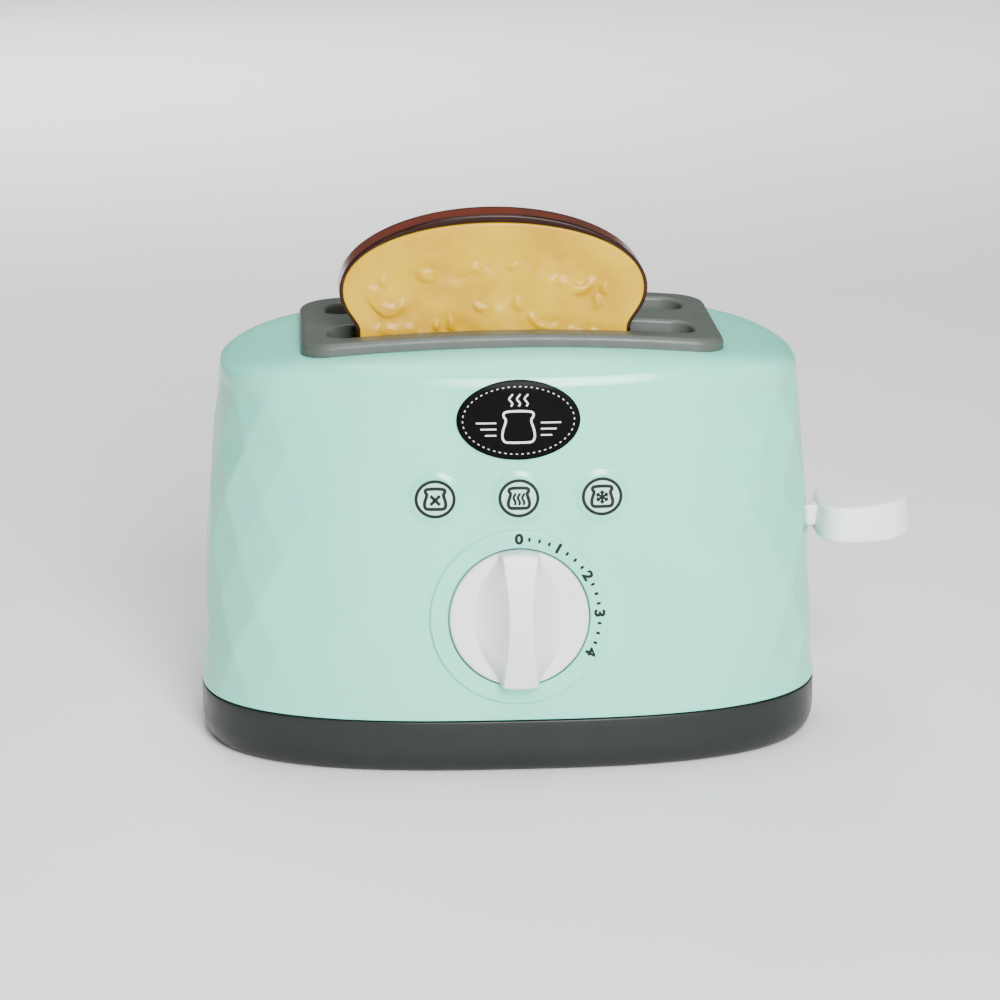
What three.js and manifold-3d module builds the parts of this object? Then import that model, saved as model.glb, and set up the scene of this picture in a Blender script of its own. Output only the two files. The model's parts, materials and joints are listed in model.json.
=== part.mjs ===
// Toy pop-up toaster with one bread slice, clockwork timer and push-down lever.
// Millimetres, +Z up, +X towards the lever, the dial faces -Y.
import * as THREE from "three";
import { mergeVertices } from "three/addons/utils/BufferGeometryUtils.js";
import Module from "manifold-3d";

const wasm = await Module();
wasm.setup();

// Clearances and overruns
const gap = 0.35; // between pieces that touch
const running = 0.4; // round a piece that turns or slides
const overrun = 2; // how far a cutting body runs past what it cuts
const weld = 0.6; // how far a boss is sunk into the wall that carries it

// Base and housing, outside
const baseHeight = 16.6;
const baseEdgeInset = 4.2;
const baseEdgeRise = 7.5;
const seamHalfWidth = 93;
const seamHalfDepth = 52;
const endTaper = 7.4;
const faceTaper = 6.8;
const endBow = 1;
const faceBow = 0.4;
const shoulderHeight = 113.4;
const shoulderRise = 6.8;
const archRise = 3;
const wall = 2.2;
const sideRoundnessShare = 2.75; // exponent of the plan's superellipse at the side
const topRoundnessShare = 6.7; // and where the shoulder meets the trim
const planSteps = 48;
const sideSteps = 4;
const shoulderSteps = 4;
const archSteps = 6;
const topShares = [0.6, 0.25];

// Bread slots, their trim and the two wells under them
const slotHalfLength = 53.7;
const slotWidth = 16;
const slotPitch = 31.2;
const slotCornerRadius = 6.5;
const trimEndRim = 8;
const trimSideRim = 7.7;
const trimCorner = 9;
const trimProud = 3.7;
const trimEdge = 2;
const trimMargin = 1;
const collarWall = 1.4;
const collarDrop = 11;
const clipLength = 8;
const clipReach = 1;
const clipHeight = 2;
const clipPlaceShare = 0.55;
const trimEdgeSteps = 3;
const wellWall = 1.6;
const wellFloorHeight = 30;
const wellSlitWidth = 7;
const wellSlitRise = 9;
const wellEarReach = 10;
const wellEarHalfWidth = 4.5;
const wellEarThickness = 2.6;
const wellBossRadius = 3.4;

// Bread slice
const sliceThickness = 13.4;
const sliceHalfWidth = 44.8;
const sliceWaistHalfWidth = 39.9;
const sliceHeight = 90;
const sliceLobeDrop = 22;
const sliceLobeBend = 6;
const sliceWaistDrop = 34;
const sliceWaistBend = 3.5;
const sliceFootRadius = 7;
const sliceRise = 33.4;
const sliceOffset = -5.5;
const sliceEdge = 1.6;
const sliceCrownShare = 0.553;
const softEdgeShare = 0.3; // where a rounded edge's middle stands, in edge widths
const sliceSteps = 7;
const crustRim = 1.5;
const crumbRecess = 1.2;
const crumbSink = 0.5;

// Carriage, guide rods and lift springs
const shelfHalfWidth = 5;
const shelfEndInset = 3;
const shelfThickness = 3;
const neckHalfWidth = 2.6;
const crossBarWidth = 5;
const crossBarGap = 2.6;
const lowestShelfGap = 1.7;
const guideRadius = 1.5;
const guideBossRadius = 4;
const guideOffset = 7.4; // from the inner side of the cross bar to the rod
const guideSocketDepth = 6;
const ceilingBossLength = 9;
const springRadius = 3;
const springWire = 0.8;
const springPostRadius = 1.6;
const springPostLength = 5;
const springOffset = 7.5;
const earReach = 4;

// Lever arm and paddle
const armHalfWidth = 2.5;
const armHeight = 5;
const armInPaddle = 8;
const paddleInner = 10.1;
const paddleOuter = 19.5;
const paddleHalfWidth = 15.6;
const paddleHeight = 10.7;
const paddleStandOff = 0.4;
const paddleEdge = 1.2;
const paddleDraft = 0.6;
const paddleTopSlopeShare = 0.05;
const paddleSteps = 24;
const leverSlotHalfWidth = 3.5;
const leverSlotEnd = 1.5;
const paddleScrewLength = 7;
const paddleScrewLand = 2;

// Knob and dial
const knobHeight = 47.5;
const knobRadius = 20.4;
const knobDisc = 3.6;
const knobStandOff = 0.5;
const knobBarHeight = 5.4;
const knobBarHalfEnd = 4.8;
const knobBarHalfMiddle = 3.5;
const knobEdge = 1.2;
const knobTurnDegrees = 117;
const dialRadius = 25.8;
const dialProud = 0.8;
const arborRadius = 2;
const arborInKnob = 6;

// Printed stickers
const iconRadius = 5.9;
const iconPadRadius = 7.8;
const iconPadProud = 0.7;
const iconSpacing = 24;
const iconHeight = 82.8;
const stickerThickness = 0.4;
const badgeHeight = 105.7;
const badgeHalfWidth = 17.8;
const badgeHalfHeight = 12;
const badgeThickness = 0.6;

// Clockwork timer, in the frame of the knob's axis: x right, y inward, z up the face
const timerStandOff = 4;
const plateThickness = 1.2;
const plateClearance = 0.5;
const layerGap = 0.6;
const plateLeft = 35;
const plateRight = 22.5;
const plateTop = 22;
const plateBottom = 22;
const pillarRadius = 2.5;
// Pillar places, sideways in shares of the plate's left reach, up and down in shares of its height
const pillarShares = [
  [-0.886, 0.795],
  [-0.886, -0.705],
  [0.286, 0.818],
  [0.314, -0.795],
];
const pillarPlaces = pillarShares.map(([across, up]) => ({ x: across * plateLeft, z: up * plateTop }));
const gearModule = 0.8;
const mainTeeth = 30;
const middlePinionTeeth = 10;
const middleTeeth = 27;
const escapePinionTeeth = 9;
const escapeTeeth = 15;
const escapeRadius = 7;
const escapeToothDepth = 2;
const gearRootShare = 1.2; // depth of a tooth's root and height of its tip, in modules
const gearTipShare = 0.8;
const gearToothShares = { root: 0.33, tip: 0.1 }; // half widths of a tooth, in tooth pitches
const escapeToothShares = { root: 0.3, tip: 0.08 };
const middleDirectionDegrees = 216.9;
const escapeDirectionDegrees = 141.9;
const palletDistance = 11;
const palletHub = 2.2;
const palletArm = 1.6;
const palletSpanDegrees = 48;
const pinRadius = 1;
const springDrumRadius = 9;
const camHigh = 8.2;
const camRampShare = 0.08;
const camSteps = 48;
const latchPivotX = 19;
const latchPivotZ = 8;
const latchHub = 3.5;
const latchArm = 3;
const latchDrop = 29;
const latchNose = 1.9;
const latchNoseHeight = 3;
const latchTipX = -1;
const latchTipRadius = 1;
const latchSwingDegrees = 7;
const latchSpringRadius = 2.6;

// Screws
const screwRadius = 1.2;
const screwHeadRadius = 2.9;
const screwHeadHeight = 1.8;
const screwBite = 8;
const recessHalf = 0.6;
const recessArm = 1.8;
const recessDepth = 1;
const baseBossRadius = 4.6;
const basePostRadius = 5;
const baseFloor = 2.4;
const baseScrewRecess = 8;
const baseScrewXShare = 0.775;
const baseScrewYShare = 0.62;
const baseBossLength = 26;
const baseBoreShare = 0.75;
const lipHeight = 3.2;
const lipThickness = 1.4;

// Facets of round pieces
const roundSteps = 16;
const smallSteps = 8;
const bigSteps = 40;
const cornerSteps = 4;

// Finishes
const finishes = {
  mint: { color: "#bfe0d7", roughness: 0.3, metalness: 0 },
  grey: { color: "#56635f", roughness: 0.45, metalness: 0 },
  white: { color: "#e9e9ea", roughness: 0.3, metalness: 0 },
  crust: { color: "#4a1c0c", roughness: 0.25, metalness: 0 },
  crumb: { color: "#e0b338", roughness: 0.4, metalness: 0 },
  sticker: { color: "#1c1d1c", roughness: 0.35, metalness: 0 },
  steel: { color: "#b9bcbe", roughness: 0.35, metalness: 0.9 },
  brass: { color: "#b99a55", roughness: 0.4, metalness: 0.9 },
  nylon: { color: "#e4e0d4", roughness: 0.5, metalness: 0 },
};

// Helpers: shapes to closed solids, and closed solids to named meshes
function solid(geometry) {
  const bare = geometry.clone();
  bare.deleteAttribute("normal");
  bare.deleteAttribute("uv");
  const merged = mergeVertices(bare, 1e-4);
  return new wasm.Manifold(
    new wasm.Mesh({
      numProp: 3,
      vertProperties: merged.attributes.position.array,
      triVerts: new Uint32Array(merged.index.array),
    }),
  );
}

function mesh(name, finish, shape, parent) {
  const data = shape.getMesh();
  const geometry = new THREE.BufferGeometry();
  geometry.setAttribute("position", new THREE.BufferAttribute(data.vertProperties, 3));
  geometry.setIndex(new THREE.BufferAttribute(data.triVerts, 1));
  geometry.computeVertexNormals();
  const made = new THREE.Mesh(geometry, new THREE.MeshStandardMaterial(finishes[finish]));
  made.name = name;
  parent.add(made);
  return made;
}

const join = (...shapes) => shapes.reduce((all, one) => all.add(one));
const cut = (shape, ...tools) => tools.reduce((rest, tool) => rest.subtract(tool), shape);

function box(low, high) {
  const size = high.map((value, i) => value - low[i]);
  const middle = high.map((value, i) => (value + low[i]) / 2);
  return solid(new THREE.BoxGeometry(...size).translate(...middle));
}

// A round rod along Z
function rodZ(radius, x, y, low, high, steps = roundSteps) {
  const shape = new THREE.CylinderGeometry(radius, radius, high - low, steps);
  return solid(shape.rotateX(Math.PI / 2).translate(x, y, (low + high) / 2));
}

// A round rod along Y
function rodY(radius, x, z, near, far, steps = roundSteps) {
  const shape = new THREE.CylinderGeometry(radius, radius, far - near, steps);
  return solid(shape.translate(x, (near + far) / 2, z));
}

// A round rod along X
function rodX(radius, y, z, left, right, steps = roundSteps) {
  const shape = new THREE.CylinderGeometry(radius, radius, right - left, steps);
  return solid(shape.rotateZ(Math.PI / 2).translate((left + right) / 2, y, z));
}

// A flat outline in X and Y, raised along Z
function prismZ(shape, low, high, steps = cornerSteps) {
  const settings = { depth: high - low, bevelEnabled: false, curveSegments: steps };
  return solid(new THREE.ExtrudeGeometry(shape, settings).translate(0, 0, low));
}

// A flat outline in X and Z, raised along Y
function prismY(shape, near, far, steps = cornerSteps) {
  const settings = { depth: far - near, bevelEnabled: false, curveSegments: steps };
  return solid(new THREE.ExtrudeGeometry(shape, settings).rotateX(Math.PI / 2).translate(0, far, 0));
}

function roundedRectangle(halfX, halfY, radius, x = 0, y = 0) {
  const corner = Math.min(radius, halfX, halfY);
  const shape = new THREE.Shape();
  shape.moveTo(x + halfX, y - halfY + corner);
  shape.lineTo(x + halfX, y + halfY - corner);
  shape.absarc(x + halfX - corner, y + halfY - corner, corner, 0, Math.PI / 2);
  shape.absarc(x - halfX + corner, y + halfY - corner, corner, Math.PI / 2, Math.PI);
  shape.absarc(x - halfX + corner, y - halfY + corner, corner, Math.PI, Math.PI * 1.5);
  shape.absarc(x + halfX - corner, y - halfY + corner, corner, Math.PI * 1.5, Math.PI * 2);
  return shape;
}

// A closed skin through rings of equal count, ending in a point or a ring's middle at each end
function loft(rings) {
  const count = rings[0].length;
  const points = rings.flat();
  const faces = [];
  rings.slice(1).forEach((ring, level) => {
    ring.forEach((point, i) => {
      const a = level * count + i;
      const b = level * count + ((i + 1) % count);
      faces.push(a, b, b + count, a, b + count, a + count);
    });
  });
  const middle = (ring) => ring.reduce((sum, point) => sum.clone().add(point)).divideScalar(count);
  points.push(middle(rings[0]), middle(rings.at(-1)));
  const last = (rings.length - 1) * count;
  rings[0].forEach((point, i) => {
    const next = (i + 1) % count;
    faces.push(points.length - 2, next, i, points.length - 1, last + i, last + next);
  });
  const geometry = new THREE.BufferGeometry().setFromPoints(points);
  geometry.setIndex(faces);
  return solid(geometry);
}

// Plan curve of the moulding: a superellipse
function planPoint(halfX, halfY, exponent, angle) {
  const c = Math.cos(angle);
  const s = Math.sin(angle);
  const x = halfX * Math.sign(c) * Math.abs(c) ** (2 / exponent);
  const y = halfY * Math.sign(s) * Math.abs(s) ** (2 / exponent);
  return new THREE.Vector2(x, y);
}

function planRing(halfX, halfY, exponent, heightAt) {
  return Array.from({ length: planSteps }, (unused, i) => {
    const { x, y } = planPoint(halfX, halfY, exponent, (i / planSteps) * Math.PI * 2);
    return new THREE.Vector3(x, y, heightAt(x, y));
  });
}

// Housing outside: half sizes of the plan at a height, and the arched top
function sideAt(height) {
  const t = (height - baseHeight) / (shoulderHeight - baseHeight);
  const bow = 4 * t * (1 - t);
  return {
    halfX: seamHalfWidth - endTaper * t + endBow * bow,
    halfY: seamHalfDepth - faceTaper * t + faceBow * bow,
  };
}

const trimHalfX = slotHalfLength + trimEndRim;
const trimHalfY = slotPitch / 2 + slotWidth / 2 + trimSideRim;
const topHalfX = trimHalfX + trimMargin;
const topHalfY = trimHalfY + trimMargin;
const topHeightAt = (x) => shoulderHeight + shoulderRise + archRise * (1 - (x / topHalfX) ** 2);

// The front face: where it stands at a place, and its lean
function faceAt(x, z) {
  const { halfX, halfY } = sideAt(z);
  const across = 1 - Math.abs(x / halfX) ** sideRoundnessShare;
  return -halfY * across ** (1 / sideRoundnessShare);
}

const endWallAt = (z) => sideAt(z).halfX;
const faceRun = faceAt(0, knobHeight + knobRadius) - faceAt(0, knobHeight - knobRadius);
const faceLean = Math.atan2(faceRun, 2 * knobRadius);

// Rings of the housing's skin, drawn in by a thickness
function housingRings(inset, start) {
  const rings = [];
  for (let i = 0; i <= sideSteps; i++) {
    const height = start + ((shoulderHeight - start) * i) / sideSteps;
    const { halfX, halfY } = sideAt(Math.max(height, baseHeight));
    rings.push(planRing(halfX - inset, halfY - inset, sideRoundnessShare, () => height));
  }
  const shoulder = sideAt(shoulderHeight);
  for (let i = 1; i <= shoulderSteps; i++) {
    const turn = ((i / shoulderSteps) * Math.PI) / 2;
    const out = Math.cos(turn);
    const halfX = topHalfX + (shoulder.halfX - topHalfX) * out;
    const halfY = topHalfY + (shoulder.halfY - topHalfY) * out;
    const exponent = sideRoundnessShare + (topRoundnessShare - sideRoundnessShare) * (1 - out);
    const up = Math.sin(turn);
    const heightAt = (x) => shoulderHeight + (topHeightAt(x) - shoulderHeight - inset) * up;
    rings.push(planRing(halfX - inset * out, halfY - inset * out, exponent, heightAt));
  }
  topShares.forEach((share) => {
    const heightAt = (x) => topHeightAt(x) - inset;
    rings.push(planRing(topHalfX * share, topHalfY * share, topRoundnessShare, heightAt));
  });
  return rings;
}

// Frame of the knob's axis
const timer = new THREE.Group();
timer.position.set(0, faceAt(0, knobHeight), knobHeight);
timer.rotation.x = -faceLean;
timer.updateMatrix();
const inTimer = (shape) => shape.transform(timer.matrix.toArray());

// Heights and places that several pieces share
const slotCentres = { front: -slotPitch / 2, rear: slotPitch / 2 };
const trimTopAt = (x) => topHeightAt(x) + trimProud;
const sliceTop = trimTopAt(0) + sliceRise;
const sliceFoot = sliceTop - sliceHeight;
const shelfTop = sliceFoot - gap;
const travel = shelfTop - wellFloorHeight - lowestShelfGap;
const armTop = shelfTop - shelfThickness - lowestShelfGap;
const armBottom = armTop - armHeight;
const wellOuterX = slotHalfLength + wellWall;
const wellOuterY = slotWidth / 2 + wellWall;
const wellTop = topHeightAt(topHalfX) - collarDrop;
const crossBarInner = wellOuterX + crossBarGap;
const crossBarOuter = crossBarInner + crossBarWidth;
const guideX = crossBarInner + guideOffset;
const ceilingAt = (x) => topHeightAt(x) - wall;
const baseScrewX = seamHalfWidth * baseScrewXShare;
const baseScrewY = seamHalfDepth * baseScrewYShare;
const wellScrewX = wellOuterX + wellEarReach / 2;

// Depths of the timer's layers, counted inward from the face
const frontWellFace = slotCentres.front - wellOuterY;
const timerFront = wall + timerStandOff;
const roomBehind = frontWellFace - faceAt(0, knobHeight) - plateTop * Math.sin(faceLean);
const timerBack = roomBehind - plateClearance - screwHeadHeight - gap;
const layerCount = 4;
const layerRoom = timerBack - timerFront - 2 * plateThickness;
const layerThickness = (layerRoom - layerGap * (layerCount + 1)) / layerCount;
const layerStart = (index) => timerFront + plateThickness + layerGap + index * (layerThickness + layerGap);
const layers = Array.from({ length: layerCount }, (unused, i) => ({
  near: layerStart(i),
  far: layerStart(i) + layerThickness,
}));
const [escapeLayer, middleLayer, mainLayer, latchLayer] = layers;

const direction = (degrees, distance) => ({
  x: Math.cos(THREE.MathUtils.degToRad(degrees)) * distance,
  z: Math.sin(THREE.MathUtils.degToRad(degrees)) * distance,
});
const mainRadius = (gearModule * mainTeeth) / 2;
const middlePinionRadius = (gearModule * middlePinionTeeth) / 2;
const middleRadius = (gearModule * middleTeeth) / 2;
const escapePinionRadius = (gearModule * escapePinionTeeth) / 2;
const middlePlace = direction(middleDirectionDegrees, mainRadius + middlePinionRadius);
const escapeStep = direction(escapeDirectionDegrees, middleRadius + escapePinionRadius);
const escapePlace = { x: middlePlace.x + escapeStep.x, z: middlePlace.z + escapeStep.z };
const palletPlace = { x: escapePlace.x, z: escapePlace.z + palletDistance };

// A screw along +Z: the head's underside at zero, a crosshead recess in the head
function screwShape(length) {
  const head = rodZ(screwHeadRadius, 0, 0, -screwHeadHeight, 0, smallSteps);
  const shank = rodZ(screwRadius, 0, 0, -screwHeadHeight / 2, length, smallSteps);
  const low = -screwHeadHeight - overrun;
  const high = -screwHeadHeight + recessDepth;
  const long = recessHalf * 3;
  const first = box([-long, -recessHalf, low], [long, recessHalf, high]);
  const second = box([-recessHalf, -long, low], [recessHalf, long, high]);
  return cut(join(head, shank), first, second);
}

// A ring of straight-sided teeth about a centre; phase is the direction of one tooth
function toothedShape(teeth, place, phase, rootRadius, tipRadius, { root, tip }) {
  const pitch = (Math.PI * 2) / teeth;
  const profile = [
    [-root, rootRadius],
    [-tip, tipRadius],
    [tip, tipRadius],
    [root, rootRadius],
  ];
  const shape = new THREE.Shape();
  for (let tooth = 0; tooth < teeth; tooth++) {
    profile.forEach(([share, distance], i) => {
      const angle = phase + (tooth + share) * pitch;
      const x = place.x + distance * Math.cos(angle);
      const z = place.z + distance * Math.sin(angle);
      if (tooth + i === 0) shape.moveTo(x, z);
      else shape.lineTo(x, z);
    });
  }
  return shape;
}

// Outline of a gear
function gearShape(teeth, place, phase) {
  const radius = (gearModule * teeth) / 2;
  const rootRadius = radius - gearModule * gearRootShare;
  const tipRadius = radius + gearModule * gearTipShare;
  return toothedShape(teeth, place, phase, rootRadius, tipRadius, gearToothShares);
}

function buildHousing() {
  const inner = loft(housingRings(wall, baseHeight - overrun));
  let shell = cut(loft(housingRings(0, baseHeight)), inner);
  const skin = inTimer(rodY(dialRadius, 0, 0, -dialProud, wall - weld, bigSteps));
  shell = join(shell, cut(skin, inner));
  [-iconSpacing, 0, iconSpacing].forEach((x) => {
    const y = faceAt(x, iconHeight);
    const pad = rodY(iconPadRadius, x, iconHeight, y - iconPadProud, y + wall - weld, roundSteps);
    shell = join(shell, pad);
  });
  for (const y of Object.values(slotCentres)) {
    const halfX = slotHalfLength + collarWall + gap;
    const halfY = slotWidth / 2 + collarWall + gap;
    const opening = roundedRectangle(halfX, halfY, slotCornerRadius + collarWall + gap, 0, y);
    shell = cut(shell, prismZ(opening, shoulderHeight - overrun, topHeightAt(0) + overrun));
  }
  const bosses = [];
  const holes = [];
  for (const side of [-1, 1]) {
    const rodTop = ceilingAt(guideX) + weld;
    bosses.push(rodZ(guideBossRadius, side * guideX, 0, rodTop - ceilingBossLength, rodTop));
    const socketTop = rodTop - ceilingBossLength + guideSocketDepth;
    holes.push(rodZ(guideRadius + gap, side * guideX, 0, wellTop - ceilingBossLength, socketTop));
    const postRoot = rodTop - ceilingBossLength;
    const postTip = postRoot - springPostLength;
    bosses.push(rodZ(springRadius, side * guideX, springOffset, postRoot, rodTop));
    bosses.push(rodZ(springPostRadius, side * guideX, springOffset, postTip, rodTop, smallSteps));
    for (const y of Object.values(slotCentres)) {
      const bossTop = ceilingAt(wellScrewX) + weld;
      bosses.push(rodZ(wellBossRadius, side * wellScrewX, y, wellTop + gap, bossTop));
      const boreTop = wellTop + screwBite / 2 + gap;
      holes.push(rodZ(screwRadius + gap, side * wellScrewX, y, wellTop - overrun, boreTop, smallSteps));
    }
    for (const y of [-baseScrewY, baseScrewY]) {
      const x = side * baseScrewX;
      const boreTop = baseHeight + baseBossLength * baseBoreShare;
      bosses.push(rodZ(baseBossRadius, x, y, baseHeight + gap, baseHeight + baseBossLength));
      holes.push(rodZ(screwRadius + gap, x, y, baseHeight - overrun, boreTop, smallSteps));
    }
  }
  pillarPlaces.forEach(({ x, z }) => {
    bosses.push(inTimer(rodY(pillarRadius, x, z, wall - weld, timerFront - gap)));
    holes.push(inTimer(rodY(screwRadius + gap, x, z, wall, timerFront + overrun, smallSteps)));
  });
  const inside = loft(housingRings(wall / 2, baseHeight));
  shell = join(shell, ...bosses.map((boss) => boss.intersect(inside)));
  shell = cut(shell, ...holes);
  const arborHole = rodY(arborRadius + running, 0, 0, -dialProud - overrun, wall + overrun);
  const slotLow = armBottom - travel - leverSlotEnd;
  const slotHigh = armTop + leverSlotEnd;
  const slotInner = endWallAt(slotHigh) - wall - overrun;
  const slotOuter = seamHalfWidth + overrun;
  const lowCorner = [slotInner, -leverSlotHalfWidth, slotLow];
  const leverSlot = box(lowCorner, [slotOuter, leverSlotHalfWidth, slotHigh]);
  return cut(shell, inTimer(arborHole), leverSlot);
}

// The base tray: rounded lower edge, flat floor, a lip inside the housing, posts for its screws
function buildBase() {
  const top = baseHeight - gap;
  const ringAt = (inset, height) =>
    planRing(seamHalfWidth - inset, seamHalfDepth - inset, sideRoundnessShare, () => height);
  const rings = [];
  for (let i = 0; i <= shoulderSteps; i++) {
    const turn = ((i / shoulderSteps) * Math.PI) / 2;
    rings.push(ringAt(baseEdgeInset * (1 - Math.sin(turn)), baseEdgeRise * (1 - Math.cos(turn))));
  }
  rings.push(ringAt(0, top));
  const hollow = [
    ringAt(baseEdgeInset + wall, baseFloor),
    ringAt(wall, baseEdgeRise + baseFloor),
    ringAt(wall, top + overrun),
  ];
  const whole = loft(rings);
  let tray = cut(whole, loft(hollow));
  const lipOut = wall + gap;
  const lipIn = lipOut + lipThickness;
  const lipTop = baseHeight + lipHeight;
  const lip = [ringAt(lipOut, baseEdgeRise + baseFloor), ringAt(lipOut + gap, lipTop)];
  const lipHollow = [ringAt(lipIn, baseEdgeRise), ringAt(lipIn + gap, lipTop + overrun)];
  const bridge = [ringAt(wall - weld, baseEdgeRise + baseFloor), ringAt(wall - weld, top - baseFloor)];
  const ring = cut(join(loft(lip), loft(bridge)), loft(lipHollow));
  tray = join(tray, ring);
  const posts = [];
  const holes = [];
  for (const x of [-baseScrewX, baseScrewX]) {
    for (const y of [-baseScrewY, baseScrewY]) {
      holes.push(rodZ(baseBossRadius + running, x, y, top, lipTop + overrun));
      posts.push(rodZ(basePostRadius, x, y, 0, top));
      holes.push(rodZ(screwRadius + gap, x, y, -overrun, top + overrun, smallSteps));
      holes.push(rodZ(screwHeadRadius + gap, x, y, -overrun, baseScrewRecess));
    }
  }
  for (const x of [-guideX, guideX]) {
    posts.push(rodZ(guideBossRadius, x, 0, 0, baseFloor + guideSocketDepth));
    holes.push(rodZ(guideRadius + gap, x, 0, baseFloor, baseFloor + guideSocketDepth + overrun));
  }
  return cut(join(tray, ...posts.map((post) => post.intersect(whole))), ...holes);
}

// Points round a rounded rectangle, with its two long sides divided evenly
function rectanglePoints(halfX, halfY, radius) {
  const points = [];
  for (let quarter = 0; quarter < 4; quarter++) {
    const middleX = (quarter % 3 === 0 ? 1 : -1) * (halfX - radius);
    const middleY = (quarter < 2 ? 1 : -1) * (halfY - radius);
    for (let i = 0; i <= cornerSteps; i++) {
      const angle = ((quarter + i / cornerSteps) * Math.PI) / 2;
      points.push([middleX + radius * Math.cos(angle), middleY + radius * Math.sin(angle)]);
    }
    if (quarter % 2 === 1) continue;
    for (let i = 1; i < archSteps; i++) {
      points.push([middleX * (1 - (2 * i) / archSteps), Math.sign(middleY) * halfY]);
    }
  }
  return points;
}

// The trim: an arched rounded frame with two slots, a collar under each and clips below the skin
function buildTrim() {
  const ringAt = (share, inset, heightAt) => {
    const points = rectanglePoints(trimHalfX - inset, trimHalfY - inset, trimCorner - inset);
    return points.map(([x, y]) => new THREE.Vector3(x * share, y * share, heightAt(x * share)));
  };
  const under = (x) => topHeightAt(x) + gap;
  const rings = [...topShares].reverse().map((share) => ringAt(share, 0, under));
  rings.push(ringAt(1, 0, under));
  for (let i = 0; i <= trimEdgeSteps; i++) {
    const turn = ((i / trimEdgeSteps) * Math.PI) / 2;
    const drop = trimEdge * (1 - Math.sin(turn));
    rings.push(ringAt(1, trimEdge * (1 - Math.cos(turn)), (x) => trimTopAt(x) - drop));
  }
  topShares.forEach((share) => rings.push(ringAt(share, trimEdge, trimTopAt)));
  let trim = loft(rings);
  for (const y of Object.values(slotCentres)) {
    const halfX = slotHalfLength + collarWall;
    const halfY = slotWidth / 2 + collarWall;
    const collar = roundedRectangle(halfX, halfY, slotCornerRadius + collarWall, 0, y);
    trim = join(trim, prismZ(collar, wellTop + gap, topHeightAt(0) + weld));
    for (const side of [-1, 1]) {
      const x = side * slotHalfLength * clipPlaceShare;
      const top = ceilingAt(Math.abs(x) + clipLength) - gap;
      const outward = Math.sign(y) * (halfY + clipReach + gap);
      const inward = Math.sign(y) * (halfY - weld);
      const [nearY, farY] = [y + inward, y + outward].sort((a, b) => a - b);
      const [left, right] = [x - clipLength / 2, x + clipLength / 2];
      trim = join(trim, box([left, nearY, top - clipHeight], [right, farY, top]));
    }
  }
  for (const y of Object.values(slotCentres)) {
    const slot = roundedRectangle(slotHalfLength, slotWidth / 2, slotCornerRadius, 0, y);
    trim = cut(trim, prismZ(slot, wellTop - overrun, trimTopAt(0) + overrun));
  }
  return trim;
}

// A bread well: a tube under its slot, slit at both ends for the carriage, with two screw ears
function buildWell(y) {
  const outline = roundedRectangle(wellOuterX, wellOuterY, slotCornerRadius + wellWall, 0, y);
  const slot = roundedRectangle(slotHalfLength, slotWidth / 2, slotCornerRadius, 0, y);
  let well = prismZ(outline, wellFloorHeight, wellTop);
  const earX = wellOuterX + wellEarReach;
  const earLow = wellTop - wellEarThickness;
  well = join(well, box([-earX, y - wellEarHalfWidth, earLow], [earX, y + wellEarHalfWidth, wellTop]));
  well = cut(well, prismZ(slot, wellFloorHeight - overrun, wellTop + overrun));
  const slitLow = [-wellOuterX - overrun, y - wellSlitWidth / 2, wellFloorHeight - overrun];
  const slitHigh = [wellOuterX + overrun, y + wellSlitWidth / 2, shelfTop + wellSlitRise];
  well = cut(well, box(slitLow, slitHigh));
  for (const x of [-wellScrewX, wellScrewX]) {
    well = cut(well, rodZ(screwRadius + gap, x, y, earLow - overrun, wellTop + overrun, smallSteps));
  }
  return well;
}

// Outline of the bread slice: square foot, waist, two lobes and a low crown; inset draws it in
function sliceShape(inset) {
  const halfWidth = sliceHalfWidth - inset;
  const waist = sliceWaistHalfWidth - inset;
  const top = sliceHeight - inset;
  const lobe = sliceHeight - sliceLobeDrop;
  const lobeTop = lobe + sliceLobeDrop * sliceCrownShare;
  const crown = halfWidth * sliceCrownShare;
  const lobeLow = lobe - sliceLobeBend;
  const waistTop = sliceHeight - sliceWaistDrop;
  const waistHigh = waistTop + sliceWaistBend;
  const foot = Math.max(sliceFootRadius - inset, inset);
  const shape = new THREE.Shape();
  shape.moveTo(0, inset);
  shape.lineTo(waist - foot, inset);
  shape.quadraticCurveTo(waist, inset, waist, inset + foot);
  shape.lineTo(waist, waistTop);
  shape.bezierCurveTo(waist, waistHigh, halfWidth, lobeLow, halfWidth, lobe);
  shape.bezierCurveTo(halfWidth, lobeTop, crown, top, 0, top);
  shape.bezierCurveTo(-crown, top, -halfWidth, lobeTop, -halfWidth, lobe);
  shape.bezierCurveTo(-halfWidth, lobeLow, -waist, waistHigh, -waist, waistTop);
  shape.lineTo(-waist, inset + foot);
  shape.quadraticCurveTo(-waist, inset, -waist + foot, inset);
  return shape;
}

function slicePrism(inset, near, far) {
  const points = sliceShape(inset).getPoints(sliceSteps);
  const moved = points.map((p) => new THREE.Vector2(p.x + sliceOffset, p.y + sliceFoot));
  return prismY(new THREE.Shape(moved), near, far);
}

function buildCrust() {
  const near = slotCentres.front - sliceThickness / 2;
  const far = slotCentres.front + sliceThickness / 2;
  const soft = sliceEdge * softEdgeShare;
  const levels = [
    [sliceEdge, near, far],
    [soft, near + soft, far - soft],
    [0, near + sliceEdge, far - sliceEdge],
  ];
  const body = join(...levels.map(([inset, low, high]) => slicePrism(inset, low, high)));
  const recess = crustRim + sliceEdge;
  const frontRecess = slicePrism(recess, near - overrun, near + crumbRecess + crumbSink);
  const rearRecess = slicePrism(recess, far - crumbRecess - crumbSink, far + overrun);
  return cut(body, frontRecess, rearRecess);
}

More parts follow.
